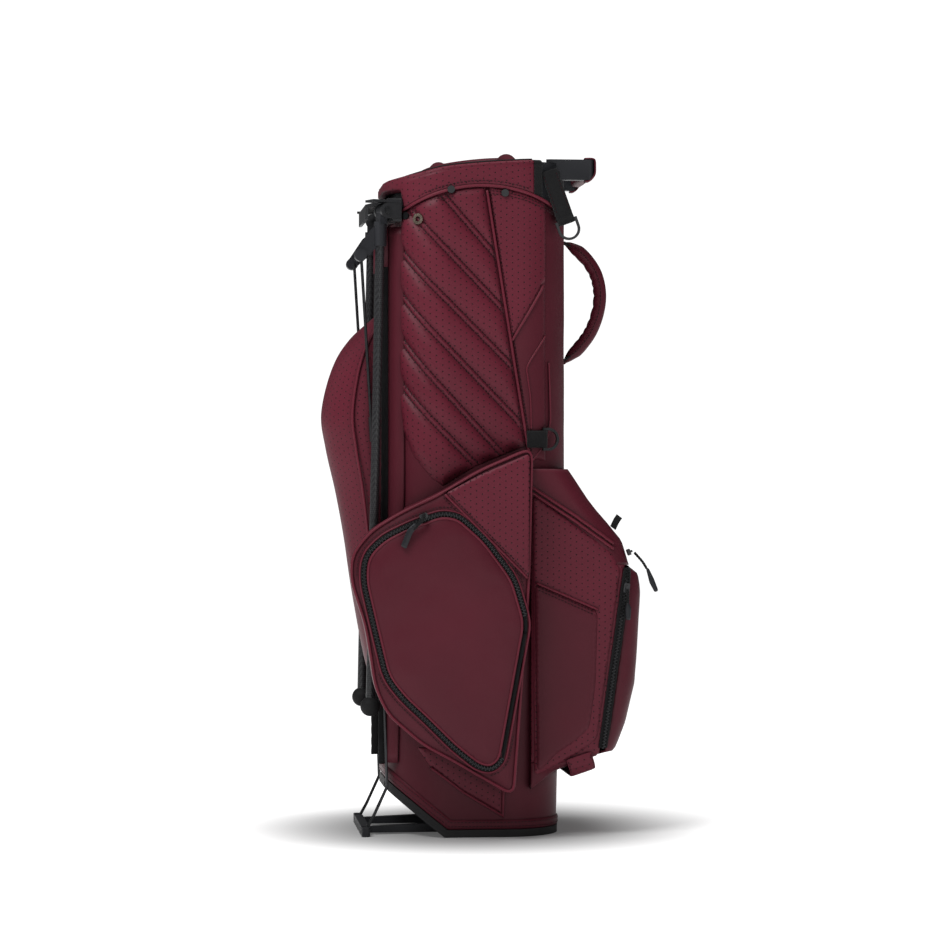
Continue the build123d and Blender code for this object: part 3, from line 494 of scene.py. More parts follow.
def stitches(name, lines, body, material=None, length=3.0, gap=1.7, width=0.55):
    """Rows of sewn stitches. Each line is a pair: points on the surface and the surface's normals."""
    parts = []
    for path, normals in lines:
        path, normals = np.asarray(path, float), np.asarray(normals, float)
        steps = np.concatenate([[0], np.cumsum(np.linalg.norm(np.diff(path, axis=0), axis=1))])
        for start in np.arange(gap, steps[-1] - length, length + gap):
            ends = [np.array([np.interp(start + d, steps, path[:, k]) for k in range(3)])
                    for d in (0, length)]
            normal = np.array([np.interp(start, steps, normals[:, k]) for k in range(3)])
            along = (ends[1] - ends[0]) / length
            side = np.cross(normal, along)
            ring = []
            for end, grow in ((ends[0], 0.4), (ends[0] + along * 0.6, 1), (ends[1] - along * 0.6, 1),
                              (ends[1], 0.4)):
                for a, b in ((-1, -0.3), (0, 1), (1, -0.3)):
                    ring.append(end + side * a * width * grow + normal * (b * width * 0.8 * grow))
            faces = [(i * 3 + k, i * 3 + (k + 1) % 3, i * 3 + 3 + (k + 1) % 3, i * 3 + 3 + k)
                     for i in range(3) for k in range(3)] + [(2, 1, 0), (9, 10, 11)]
            parts.append((np.array(ring), faces))
    points, faces = joined(parts)
    return mesh_piece(name, points, faces, material or STITCH, body, "leather", smooth=False)


def fbm(x, y, z, scale):
    """Slow noise between about -1 and 1 at a place in millimetres."""
    return noise.fractal(Vector((x * scale, y * scale, z * scale)), 1.0, 2.0, 3)


def inside(points, outline):
    """Which 2-D points lie inside a closed outline."""
    x, y = points[:, 0], points[:, 1]
    result = np.zeros(len(points), bool)
    a, b = outline, np.roll(outline, -1, 0)
    for (x0, y0), (x1, y1) in zip(a, b):
        if y0 == y1:
            continue
        crosses = ((y0 > y) != (y1 > y)) & (x < (x1 - x0) * (y - y0) / (y1 - y0) + x0)
        result ^= crosses
    return result


def edge_distance(points, outline):
    """Distance of 2-D points to a closed outline."""
    best = np.full(len(points), 1e9)
    for a, b in zip(outline, np.roll(outline, -1, 0)):
        run = b - a
        t = np.clip(((points - a) @ run) / max(run @ run, 1e-9), 0, 1)
        best = np.minimum(best, np.linalg.norm(points - (a + t[:, None] * run), axis=1))
    return best


def flat_mesh(outline, spacing):
    """Even triangles that fill a closed outline: points, triangles, and which points are on the edge."""
    outline = resample(outline, spacing, closed=True)
    low, high = outline.min(0), outline.max(0)
    rows = []
    for k, y in enumerate(np.arange(low[1], high[1], spacing * 0.87)):
        x = np.arange(low[0] + (spacing / 2 if k % 2 else 0), high[0], spacing)
        rows.append(np.stack([x, np.full_like(x, y)], 1))
    grid = np.vstack(rows)
    grid = grid[inside(grid, outline)]
    grid = grid[edge_distance(grid, outline) > spacing * 0.55]
    points = [Vector(p) for p in np.vstack([outline, grid])]
    n = len(outline)
    edges = [(i, (i + 1) % n) for i in range(n)]
    out, _, faces, *_ = delaunay_2d_cdt(points, edges, [], 1, 1e-6)
    flat = np.array([(p.x, p.y) for p in out])
    return flat, faces, outline


def pillow(outline, spacing, place, front, back=None):
    """Closed padded form over an outline: place(points, out) maps flat points to space, front gives the
    height of each point over the back."""
    flat, faces, edge = flat_mesh(outline, spacing)
    distance = edge_distance(flat, edge)
    height = front(flat, distance)
    top = place(flat, height)
    under = place(flat, np.zeros(len(flat)) if back is None else back(flat, distance))
    count = len(flat)
    uses = {}
    for face in faces:
        for a, b in zip(face, face[1:] + face[:1]):
            uses[(a, b)] = True
    rim = [(a, b) for a, b in uses if (b, a) not in uses]
    all_faces = [tuple(f) for f in faces] + [tuple(i + count for i in reversed(f)) for f in faces]
    all_faces += [(b, a, a + count, b + count) for a, b in rim]
    return np.vstack([top, under]), all_faces, np.vstack([flat, flat]), distance


def outward(data):
    """Turns a closed mesh's faces outwards."""
    import bmesh
    work = bmesh.new()
    work.from_mesh(data)
    bmesh.ops.recalc_face_normals(work, faces=work.faces)
    work.to_mesh(data)
    work.free()


def inflate(piece, pressure, cap, frames=20):
    """Swells a closed mesh with a cloth simulation, with no point moving further than cap."""
    rest = np.array([v.co for v in piece.data.vertices], float)
    body = piece.parent
    piece.parent = None
    cloth = piece.modifiers.new("cloth", "CLOTH")
    settings = cloth.settings
    settings.use_pressure = True
    settings.uniform_pressure_force = pressure
    settings.effector_weights.gravity = 0
    settings.tension_stiffness = 30
    settings.compression_stiffness = 30
    settings.quality = 5
    cloth.point_cache.frame_start = 1
    cloth.point_cache.frame_end = frames
    scene = bpy.context.scene
    for step in range(1, frames + 1):
        scene.frame_set(step)
    graph = bpy.context.evaluated_depsgraph_get()
    moved = piece.evaluated_get(graph)
    now = np.array([v.co for v in moved.data.vertices], float)
    piece.modifiers.remove(cloth)
    shift = now - rest
    size = np.linalg.norm(shift, axis=1)[:, None]
    limit = cap * MM
    shift = shift / np.maximum(size, 1e-9) * (limit * np.tanh(size / limit))
    piece.data.vertices.foreach_set("co", (rest + shift).astype(np.float32).ravel())
    piece.data.update()
    piece.parent = body
    scene.frame_set(1)


# ---- The bag's tube ------------------------------------------------------------------------------

TUBE_X, TUBE_Y, TUBE_R = 115.0, 106.0, 70.0
FLAT_X, FLAT_Y = TUBE_X - TUBE_R, TUBE_Y - TUBE_R
QUARTER = TUBE_R * math.pi / 2
BASE_SHIFT, STRAIGHT_FROM = -11.0, 450.0
HALF_ROUND = 2 * FLAT_X + 2 * FLAT_Y + 2 * QUARTER


def on_tube(s, z, out):
    """Places and normals on the tube: s runs round it from the middle of the near side towards the spine,
    out lifts a place off the leather."""
    s, z, out = np.broadcast_arrays(np.asarray(s, float), np.asarray(z, float), np.asarray(out, float))
    s = (s + HALF_ROUND) % (2 * HALF_ROUND) - HALF_ROUND
    side = np.sign(s + 1e-12)
    run = np.abs(s)
    turn = np.clip((run - FLAT_X) / TUBE_R, 0, math.pi / 2)
    along_x = np.minimum(run, FLAT_X)
    rest = run - FLAT_X - QUARTER
    along_y = np.clip(rest, 0, 2 * FLAT_Y)
    second = np.clip((rest - 2 * FLAT_Y) / TUBE_R, 0, math.pi / 2)
    last = np.clip(rest - 2 * FLAT_Y - QUARTER, 0, FLAT_X)
    angle = turn + second
    nx, ny = np.sin(angle), -np.cos(angle)
    cx = np.where(rest > 2 * FLAT_Y + QUARTER, FLAT_X - last, np.where(rest > 0, FLAT_X, along_x))
    cy = -FLAT_Y + along_y
    x = (cx + nx * (TUBE_R + out)) * side
    y = cy + ny * (TUBE_R + out)
    lean = BASE_SHIFT * np.clip(1 - z / STRAIGHT_FROM, 0, None)
    return np.stack([x + lean, y, z], -1), np.stack([nx * side, ny, np.zeros_like(nx)], -1)


def s_of(x):
    """How far round the near side of the upright tube a place along X is."""
    x = np.asarray(x, float)
    beyond = np.clip(np.abs(x) - FLAT_X, 0, TUBE_R)
    return np.sign(x) * (np.minimum(np.abs(x), FLAT_X) + TUBE_R * np.arcsin(beyond / TUBE_R))


ARCH_TOP, ARCH_TOP_X, ARCH_END = 852.0, -15.0, 805.0


def arch(x):
    """Height of the arched hem over a place along X: the circle through its ends and its top."""
    ends, drop = TUBE_X + 25.0, (ARCH_TOP - ARCH_END) * 1.42
    low = ARCH_TOP - drop
    (x1, z1), (x2, z2), (x3, z3) = (-ends, low), (ARCH_TOP_X, ARCH_TOP), (ends, low)
    a = np.array([[x2 - x1, z2 - z1], [x3 - x1, z3 - z1]]) * 2
    b = np.array([x2 ** 2 - x1 ** 2 + z2 ** 2 - z1 ** 2, x3 ** 2 - x1 ** 2 + z3 ** 2 - z1 ** 2])
    cx, cz = np.linalg.solve(a, b)
    radius = math.hypot(x1 - cx, z1 - cz)
    return cz + np.sqrt(radius ** 2 - (np.asarray(x, float) - cx) ** 2)


RIM_X = (-260.0, -125.0, -86.0, -50.0, 6.0, 66.0, 260.0)
RIM_Z = (800.0, 861.0, 870.0, 879.0, 884.5, 888.0, 892.0)


def rim(x):
    """Height of the rim, with its bends eased."""
    x = np.asarray(x, float)
    return sum(np.interp(x + shift, RIM_X, RIM_Z) for shift in (-16, -8, 0, 8, 16)) / 5


BASE_BREAK, BASE_SLOPE = -51.0, math.tan(math.radians(39))


def base_line(x, lift):
    """Height of the base line, lifted square to itself, over a place along X."""
    slant = (BASE_BREAK - np.asarray(x, float)) * BASE_SLOPE + lift / math.cos(math.radians(39))
    return np.maximum(lift, slant)


def tube_grid(name, s, low, high, rows, out, material, node_slot, body="bag", close=False):
    """Skin on the tube between two heights given per s; out(s, z, v) lifts it off the leather."""
    s = np.asarray(s, float)
    x = on_tube(s, 500.0, 0)[0][:, 0]
    bottom, top = low(x), high(x)
    v = np.linspace(0, 1, rows)
    ss = np.repeat(s[:, None], rows, 1)
    zz = bottom[:, None] + (top - bottom)[:, None] * v[None, :]
    lift = out(ss, zz, v[None, :] + 0 * ss)
    points = on_tube(ss, zz, lift)[0].reshape(-1, 3)
    uv = np.stack([ss.ravel(), zz.ravel()], 1)
    n = len(s)
    faces = []
    for i in range(n if close else n - 1):
        j = (i + 1) % n
        for k in range(rows - 1):
            faces.append((i * rows + k, j * rows + k, j * rows + k + 1, i * rows + k + 1))
    return mesh_piece(name, points, faces, material, body, node_slot, uv=uv)


def thicken(piece, thickness, offset=-1.0):
    """Gives a skin its real thickness."""
    solid = piece.modifiers.new("thickness", "SOLIDIFY")
    solid.thickness = thickness * MM
    solid.offset = offset
    return piece


def rounder(piece, levels=1):
    smooth = piece.modifiers.new("smooth", "SUBSURF")
    smooth.levels = smooth.render_levels = levels
    return piece


def slow(points, scale, size):
    """Slow unevenness for many places at once."""
    return np.array([fbm(*p, scale) for p in points]) * size


# ---- The tube's leather, its quilted sides and its front panels -----------------------------------

ROUND = np.linspace(-HALF_ROUND, HALF_ROUND, 240, endpoint=False)


def shell_out(s, z, v):
    points = np.stack([s.ravel(), z.ravel(), np.zeros(s.size)], 1)
    return slow(points, 0.012, 0.5).reshape(s.shape)


body = tube_grid("body_leather", ROUND, lambda x: base_line(x - 11, 10.4), lambda x: arch(x) - 0.2, 120,
                 shell_out,
                 LEATHER, "padded_leather", close=True)
lining = thicken(body, 3.6)
body.data.materials.append(LINING)
lining.modifiers["thickness"].material_offset = 1
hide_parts("body_shell")

hem = tube_grid("bottom_hem_leather", ROUND, lambda x: base_line(x - 11, 10.6),
                lambda x: base_line(x - 11, 23.0), 9,
                lambda s, z, v: 0.7 + 1.5 * np.sqrt(np.clip(1 - (2 * v - 1) ** 4, 0, 1)), LEATHER, "leather",
                close=True)
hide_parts("bottom_hem")
hem_rows = []
for lift in (14.4, 19.6):
    at = np.linspace(-HALF_ROUND, HALF_ROUND, 500)
    x = on_tube(at, 500.0, 0)[0][:, 0]
    hem_rows.append(on_tube(at, base_line(x - 11, lift), 2.2))
stitches("hem_stitches", hem_rows, "bag")

QUILT_CHANNELS = (
    ((-53, 840), (18, 759)), ((-78, 801), (28, 689)), ((-107, 776), (38, 616)),
    ((-106, 716), (47, 543)), ((-104, 654), (24, 502)), ((-104, 595), (-7, 484)),
)
CHANNEL_WIDTH = 7.0


def along_arch(x_from, x_to, count, lift):
    """Flat points (s, z) along the arched hem."""
    x = np.linspace(x_from, x_to, count)
    return np.stack([s_of(x), arch(x) + lift], 1)


def line_distance(points, a, b):
    run = b - a
    t = np.clip(((points - a) @ run) / (run @ run), -0.5, 1.5)
    return np.linalg.norm(points - (a + t[:, None] * run), axis=1)


def flat_line(a, b):
    """Two places given by X and Z, as flat places (s, z)."""
    return np.array([[float(s_of(a[0])), a[1]], [float(s_of(b[0])), b[1]]])


QUILT_LINES = [flat_line(a, b) for a, b in QUILT_CHANNELS]


def quilt_height(flat, distance):
    """Puffs between the stitched channels, thin at the panel's edge."""
    nearest = np.full(len(flat), 1e9)
    for a, b in QUILT_LINES:
        off = line_distance(flat, a, b)
        nearest = np.minimum(nearest, np.abs(off - CHANNEL_WIDTH / 2))
    band = np.abs(flat[:, 0] - float(s_of(-106.5)))
    nearest = np.minimum(nearest, np.where(flat[:, 1] > 540, band, 1e9))
    puff = 1 - np.exp(-(nearest / 6.5) ** 0.95)
    edge = 1 - np.exp(-(distance / 8.0) ** 1.4)
    rough = slow(np.column_stack([flat, np.zeros(len(flat))]), 0.02, 0.9)
    return 0.4 + (0.2 + 7.2 * puff + rough * puff) * edge


quilt_outline = np.vstack([
    along_arch(3.2, -108, 60, -0.6),
    [(float(s_of(x)), z) for x, z in ((-109.5, 700), (-109, 572), (-103, 533), (-90, 500), (-67, 470),
                                      (-53, 459.5),
                                      (-11, 485), (57, 513))],
])


def on_near_side(flat, out):
    return on_tube(flat[:, 0], flat[:, 1], out)[0]


points, faces, flat, _ = pillow(quilt_outline, 2.0, on_near_side, quilt_height,
                                back=level(0.1))
quilt = mesh_piece("near_quilted_panel", points, faces, PERFORATED, "bag", "padded_leather", uv=flat)
far_quilt = other_side(quilt, node="side_panels")

rows = []
for (a, b) in QUILT_LINES:
    run = (b - a) / np.linalg.norm(b - a)
    square = np.array([-run[1], run[0]]) * CHANNEL_WIDTH / 2
    for side in (-1, 1):
        line = a + (b - a) * np.linspace(-0.02, 1.0, 60)[:, None] + side * square
        keep = inside(line, resample(quilt_outline, 4, closed=True))
        line = line[keep]
        if len(line) > 4:
            height = quilt_height(line, np.full(len(line), 20.0))
            rows.append(on_tube(line[:, 0], line[:, 1], height + 1.3))
edge_run = np.stack([np.full(60, float(s_of(-106.5))), np.linspace(545, 800, 60)], 1)
for shift in (-2.0, 2.0):
    rows.append(on_tube(edge_run[:, 0] + shift, edge_run[:, 1], 2.9))
quilt_stitches = stitches("near_quilt_stitches", rows, "bag", width=0.8)
other_side(quilt_stitches)


def front_height(flat, distance):
    edge = 1 - np.exp(-(distance / 2.5) ** 1.4)
    return 0.4 + 1.4 * edge


front_outline = np.vstack([
    along_arch(82, 6.2, 30, -0.6),
    [(float(s_of(x)), z) for x, z in ((58.2, 515), (61, 496), (83, 492))],
])
points, faces, flat, _ = pillow(front_outline, 3.4, on_near_side, front_height,
                                back=level(0.1))
front = mesh_piece("near_front_panel", points, faces, LEATHER, "bag", "leather_perforated", uv=flat)
other_side(front, node="front_panels")

# The perforated upper part of the front panel, and the plain welt under it.
upper_outline = np.vstack([
    along_arch(82, 7.2, 30, -1.2),
    [(float(s_of(x)), z) for x, z in ((37.0, 652), (78, 724), (82, 730))],
])
points, faces, flat, _ = pillow(upper_outline, 3.4, on_near_side,
                                puffed(1.5, 1.3, 4.0),
                                back=level(1.2))
upper = mesh_piece("near_front_perforated", points, faces, PERFORATED, "bag", "leather_perforated", uv=flat)
other_side(upper)


def seam(name, corners, out, radius, material=PIPING_PAINTED_HIGHLIGHT, body="bag", both=True, spacing=5.0):
    """Piping along flat places (s, z) on the tube."""
    line = resample(np.asarray(corners, float), spacing)
    path = on_tube(line[:, 0], line[:, 1], out)[0]
    piece = tube_piece(f"near_{name}", path, radius, material, body, "leather")
    if both:
        other_side(piece, body)
    return piece


slanted = flat_line((4.4, 846.5), (60.6, 493))
seam("slanted_piping", slanted, 2.6, 2.0)
seam("perforated_welt", [(float(s_of(x)), z) for x, z in ((37.5, 650), (79, 723))], 2.4, 1.8)
run = slanted[1] - slanted[0]
square = np.array([-run[1], run[0]]) / np.linalg.norm(run)
rows = []
for shift in (-4.5, 4.5):
    line = slanted[0] + run * np.linspace(0.01, 0.99, 120)[:, None] + square * shift
    rows.append(on_tube(line[:, 0], line[:, 1], 2.1 if shift < 0 else 2.0))
seam_stitches = stitches("near_slanted_stitches", rows, "bag")
other_side(seam_stitches)

# Perforated gusset below the side pocket, with the upright seam under it.
gusset = np.array([(float(s_of(x)), z) for x, z in ((-78, 118), (35.7, 118), (35.7, 28), (-18, 60),
                                                    (-60, 92))])
points, faces, flat, _ = pillow(gusset, 3.6, on_near_side, puffed(0.4, 1.5, 3.0),
                                back=level(0.1))
gusset_piece = mesh_piece("near_gusset", points, faces, PERFORATED, "bag", "leather_perforated", uv=flat)
other_side(gusset_piece)
seam("gusset_piping", gusset[2:], 1.4, 1.8)
seam("upright_seam", [(float(s_of(35.7)), z) for z in (118, 26)], 1.0, 1.8)

# Recessed pocket drawn on the plain front panel by a raised welt.
welt = [(float(s_of(x)), z) for x, z in ((82, 657), (58.5, 619), (58, 602), (61.5, 574), (62.5, 532))]
seam("front_pocket_welt", spline(welt, 60), 1.9, 1.3)
inner_welt = [(float(s_of(x)), z) for x, z in ((87, 622), (89, 561), (88.5, 541), (83, 520), (63, 491))]
seam("front_pocket_edge", spline(inner_welt, 60), 1.6, 1.2)

# ---- Arched hem, cuff over the rim, and its black binding -----------------------------------------

CUFF_END = float(s_of(66.0))
cuff_s = np.linspace(CUFF_END, -(HALF_ROUND + CUFF_END), 230)
BRACKET_FROM, BRACKET_TOP = -100.0, 844.5     # the cuff ends above the leg bracket on the legs side
LIP = 9.0                                     # how far the cuff swells out over the bracket
PROFILE_OUTER = 14


def over_rim(name, s, low_lift, thick, material, node_slot, uv_shift=0.0, inner_depth=16.0):
    """Leather that rises from the arched hem, rolls over the rim and goes down inside."""
    x = on_tube(s, 500.0, 0)[0][:, 0]
    bottom, top = arch(x) + low_lift, rim(x)
    bottom = np.where(x < BRACKET_FROM, BRACKET_TOP, bottom)
    lip = LIP * np.clip((-78.0 - x) / 34.0, 0, 1) ** 1.5
    profile = []
    for k in range(PROFILE_OUTER):
        v = k / (PROFILE_OUTER - 1)
        bulge = 1 - (2 * v - 1) ** 4
        out = 0.8 + (thick - 0.8) * min(1, 0.55 + bulge) + lip * min(1.0, 0.35 + 2.2 * v)
        profile.append((bottom + (top - 5.0 - bottom) * v, out))
    for k in range(1, 8):
        turn = math.pi * k / 8
        reach = 7.5 + lip / 2
        profile.append((top - 5.0 + 5.0 * math.sin(turn), thick - 7.5 + lip / 2 + reach * math.cos(turn)))
    for k in range(1, 5):
        profile.append((top - 5.0 - inner_depth * k / 4, np.full_like(x, thick - 15.0)))
    rows = len(profile)
    zz = np.stack([p[0] for p in profile], 1)
    out = np.stack([p[1] for p in profile], 1)
    ss = np.repeat(s[:, None], rows, 1)
    wave = slow(np.stack([ss.ravel(), zz.ravel(), np.zeros(ss.size)], 1), 0.03, 0.5).reshape(ss.shape)
    points = on_tube(ss, zz, out + wave)[0].reshape(-1, 3)
    steps = np.concatenate([np.zeros((len(s), 1)), np.cumsum(np.hypot(np.diff(zz, axis=1),
                                                                      np.diff(out, axis=1)), 1)], 1)
    uv = np.stack([ss.ravel(), steps.ravel() + uv_shift], 1)
    faces = [(i * rows + k, (i + 1) * rows + k, (i + 1) * rows + k + 1, i * rows + k + 1)
             for i in range(len(s) - 1) for k in range(rows - 1)]
    faces = [tuple(reversed(f)) for f in faces]
    return mesh_piece(name, points, faces, material, "bag", node_slot, uv=uv)


cuff = thicken(over_rim("cuff_leather", cuff_s, 1.2, 3.6, PERFORATED, "leather_perforated"), 1.2)
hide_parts("collar_cuff")
BINDING_FROM, BINDING_TO = float(s_of(66.2)), float(s_of(76.0))
for name, first, last in (("near", BINDING_TO, BINDING_FROM),
                          ("far", HALF_ROUND - BINDING_FROM, HALF_ROUND - BINDING_TO)):
    piece = thicken(over_rim(f"{name}_binding_tape", np.linspace(first, last, 7), 0.8, 4.4, WEBBING,
                             "webbing"), 1.2)
    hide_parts("cuff_binding")

hem_x = np.linspace(114.9, -114.9, 160)
hem_side = on_tube(s_of(hem_x), arch(hem_x), 3.0)[0]
near_piping = tube_piece("near_arch_piping", hem_side, 2.3, PIPING_PAINTED_HIGHLIGHT, "bag", "leather")
other_side(near_piping)
front_s = np.linspace(-float(s_of(114.9)), float(s_of(114.9)) - HALF_ROUND, 60)
front_x = on_tube(front_s, 500.0, 0)[0][:, 0]
tube_piece("legs_side_arch_piping", on_tube(front_s, arch(front_x), 3.0)[0], 2.3, PIPING_PAINTED_HIGHLIGHT, "bag", "leather")
rows = []
for lift, out in ((-6.5, 3.0), (-10.5, 3.2), (6.5, 4.0)):
    x = np.linspace(104, -112, 260)
    if lift > 0:
        x = np.linspace(60, -112, 220)
    rows.append(on_tube(s_of(x), arch(x) + lift, out))
arch_stitches = stitches("near_arch_stitches", rows, "bag", length=3.2)
other_side(arch_stitches)

# Thin black edge where the cuff's leather ends inside the rim.
rim_s = np.linspace(CUFF_END, -(HALF_ROUND + CUFF_END), 200)
rim_x = on_tube(rim_s, 500.0, 0)[0][:, 0]
tube_piece("rim_edge_tape", on_tube(rim_s, rim(rim_x) + 0.4, -4.0)[0], 1.3, WEBBING, "bag", "webbing")

# ---- Club dividers ---------------------------------------------------------------------------------


def divider_bar(name, path, width, up):
    """Padded bar with a soft, rounded section."""
    piece = tube_piece(name, path, width / 2, LEATHER, "bag", "padded_leather", sides=20, flat=1.08, up=up)
    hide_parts("divider_bars")
    return piece


for k, (bar_x, crown) in enumerate(((-52.0, 893.0), (39.0, 905.0))):
    edge = float(rim(bar_x)) - 5
    reach = 90.0 if bar_x < 0 else 91.0
    half = 106.0
    radius = (half ** 2 + (crown - edge) ** 2) / (2 * (crown - edge))
    y = np.linspace(-reach, reach, 40)
    z = crown - radius + np.sqrt(radius ** 2 - y ** 2) - 9.6
    divider_bar(f"divider_bar_{k + 1}", np.stack([np.full(40, bar_x), y, z], 1), 18.0, (1, 0, 0))
along = spline([(-97, 0, 855.5), (-52, 0, 881), (39, 0, 892), (98, 0, 878)], 50)
divider_bar("divider_bar_middle", along, 17.0, (0, 1, 0))


def curtain(name, corner_a, corner_b, low, high, lean):
    """Divider cloth hanging in slow folds."""
    a, b = np.asarray(corner_a, float), np.asarray(corner_b, float)
    n, rows = 26, 30
    square = np.array([-(b - a)[1], (b - a)[0]]) / np.linalg.norm(b - a)
    points = []
    for i in range(n):
        for k in range(rows):
            u, v = i / (n - 1), k / (rows - 1)
            here = a + (b - a) * u
            z = low(here[0]) + (high(here) - low(here[0])) * v
            fold = fbm(here[0] + 7 * lean, here[1], z, 0.012) * 1.6 * math.sin(math.pi * u)
            points.append((here[0] + square[0] * fold, here[1] + square[1] * fold, z))
    faces = [(i * rows + k, (i + 1) * rows + k, (i + 1) * rows + k + 1, i * rows + k + 1)
             for i in range(n - 1) for k in range(rows - 1)]
    piece = thicken(mesh_piece(name, points, faces, LINING, "bag", "lining"), 1.2, 0.0)
    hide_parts("divider_panels")


def cloth_foot(x):
    return float(base_line(x - 9, 24))


curtain("divider_cloth_1", (-52, -90), (-52, 90), cloth_foot, lambda p: 834.0, 1)
curtain("divider_cloth_2", (39, -91), (39, 91), cloth_foot, lambda p: 834.0, 2)
curtain("divider_cloth_middle", (-95, 0), (97, 0), cloth_foot, lambda p: 834.0, 3)

# ---- Hip pad ---------------------------------------------------------------------------------------

PAD_OUTLINE = ((-116, 704), (-146, 680), (-186, 630), (-206, 560), (-199, 509), (-185, 455), (-173, 391),
               (-163, 315),
               (-144, 212), (-122, 190))
PAD_FACE = spline([(x, z) for x, z in PAD_OUTLINE], 90)
PAD_HALF = 64.0
PAD_SIDE = 9


def pad_rows():
    """Closed sections of the hip pad, one for each height."""
    sections = []
    for x, z in PAD_FACE:
        depth = max(0.5, -102.0 - x)
        section = []
        for k in range(PAD_SIDE):
            v = k / (PAD_SIDE - 1)
            section.append((-102.0 - depth * 0.62 * v, -PAD_HALF + 1.5 * math.sin(math.pi * v), z))
        for k in range(1, 28):
            u = -1 + 2 * k / 28
            crown = 0.62 + 0.38 * (1 - abs(u) ** 2.6)
            section.append((-102.0 - depth * crown, u * (PAD_HALF - 1.5), z))
        for k in range(PAD_SIDE):
            v = 1 - k / (PAD_SIDE - 1)
            section.append((-102.0 - depth * 0.62 * v, PAD_HALF - 1.5 * math.sin(math.pi * v), z))
        sections.append(section)
    return np.array(sections)


sections = pad_rows()
rows, columns = sections.shape[:2]
points = sections.reshape(-1, 3)
faces = grid_faces(rows, columns)
faces += [(i * columns + columns - 1, i * columns, (i + 1) * columns, (i + 1) * columns + columns - 1)
          for i in range(rows - 1)]
faces.append(tuple(range(columns - 1, -1, -1)))
faces.append(tuple((rows - 1) * columns + k for k in range(columns)))
girth = np.concatenate([np.zeros((rows, 1)), np.cumsum(np.linalg.norm(np.diff(sections, axis=1), axis=2), 1)],
                       1)
height = np.concatenate([[0], np.cumsum(np.linalg.norm(np.diff(PAD_FACE, axis=0), axis=1))])
uv = np.stack([(girth - girth[:, [columns // 2]]).ravel(), np.repeat(height, columns)], 1)
hip = mesh_piece("hip_pad_leather", points, faces, PERFORATED, "bag", "leather_perforated", uv=uv)
outward(hip.data)
inflate(hip, 1.1, 5)
rounder(hip)
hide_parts("hip_pad")
for y, name in ((-1, "near"), (1, "far")):
    edge = np.stack([-102.0 - (-102.0 - PAD_FACE[:, 0]) * 0.64, np.full(len(PAD_FACE), y * (PAD_HALF + 0.4)),
                     PAD_FACE[:, 1]], 1)
    tube_piece(f"{name}_hip_pad_piping", edge[2:-2], 1.8, PIPING_PAINTED_HIGHLIGHT, "bag", "leather")

# ---- Edge strips beside the legs --------------------------------------------------------------------


def ribbon(name, path, across, width, thick, material, body, node_slot, rows=5):
    """Flat strap along a path; across is the direction of its width."""
    path = np.asarray(path, float)
    across = np.broadcast_to(np.asarray(across, float), path.shape)
    along = np.gradient(path, axis=0)
    along /= np.linalg.norm(along, axis=1)[:, None]
    normal = np.cross(along, across)
    section = []
    for k in range(rows):
        u = -1 + 2 * k / (rows - 1)
        section.append((u, 1 - 0.55 * abs(u) ** 6))
    ring = section + [(u, -h) for u, h in reversed(section)]
    points = np.stack([path + across * (u * width / 2) + normal * (h * thick / 2) for u, h in ring], 1)
    m = len(ring)
    n = len(path)
    faces = grid_faces(n, m, around=True)
    faces += [tuple(range(m - 1, -1, -1)), tuple((n - 1) * m + k for k in range(m))]
    piece = mesh_piece(name, points.reshape(-1, 3), faces, material, body, node_slot)
    outward(piece.data)
    return piece


for y, name in ((-1, "near"), (1, "far")):
    z = np.linspace(751, 94, 180)
    front_x = np.where(z > 450, -131.0, np.maximum(-135.0, -131.0 - 4.0 * (450 - z) / 300)) + 5.2
    wave = np.abs(np.sin(np.arange(180) * math.pi / 4)) * 0.5
    path = np.stack([front_x - wave, np.full(180, 67.1 * y), z], 1)
    strip = ribbon(f"{name}_edge_strip", path, (0, 1, 0), 4.8, 10.0, WEBBING, "bag", "webbing", rows=7)
    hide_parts("edge_strips")
    tab = ribbon(f"{name}_edge_tab", [(-125.2, 67.1 * y, 800), (-126.4, 67.1 * y, 776),
                                      (-126.6, 67.1 * y, 748)],
                 (0, 1, 0), 6.0, 11.0, LEATHER, "bag", "leather", rows=7)
    wall = []
    wall_z = np.linspace(96, 800, 60)
    for height in wall_z:
        tube_place = on_tube(float(s_of(-101.0)), height, 0.2)[0] * (1, -y, 1)
        edge_x = -121.0 if height > 450 else max(-125.5, -121.0 - 4.5 * (450 - height) / 300)
        edge_place = np.array((edge_x, 68.2 * y, height))
        for t in np.linspace(0, 1, 8):
            wall.append(tube_place + (edge_place - tube_place) * t + np.array((0,
                                                                               2.2 * y * math.sin(math.pi *
                                                                                                  t), 0)))
    faces = grid_faces(60, 8)
    if y > 0:
        faces = [tuple(reversed(f)) for f in faces]
    thicken(mesh_piece(f"{name}_side_leather", wall, faces, LEATHER, "bag", "leather"), 2.2)

# ---- Side pockets, their zips and lids ---------------------------------------------------------------


def rounded(corners, radius, steps=6):
    """Closed outline with each corner rounded."""
    corners = np.asarray(corners, float)
    result = []
    for before, here, after in zip(np.roll(corners, 1, 0), corners, np.roll(corners, -1, 0)):
        a, b = before - here, after - here
        cut = min(radius, 0.45 * np.linalg.norm(a), 0.45 * np.linalg.norm(b))
        start, end = here + a / np.linalg.norm(a) * cut, here + b / np.linalg.norm(b) * cut
        for t in np.linspace(0, 1, steps):
            result.append((1 - t) ** 2 * start + 2 * t * (1 - t) * here + t ** 2 * end)
    return np.array(result)


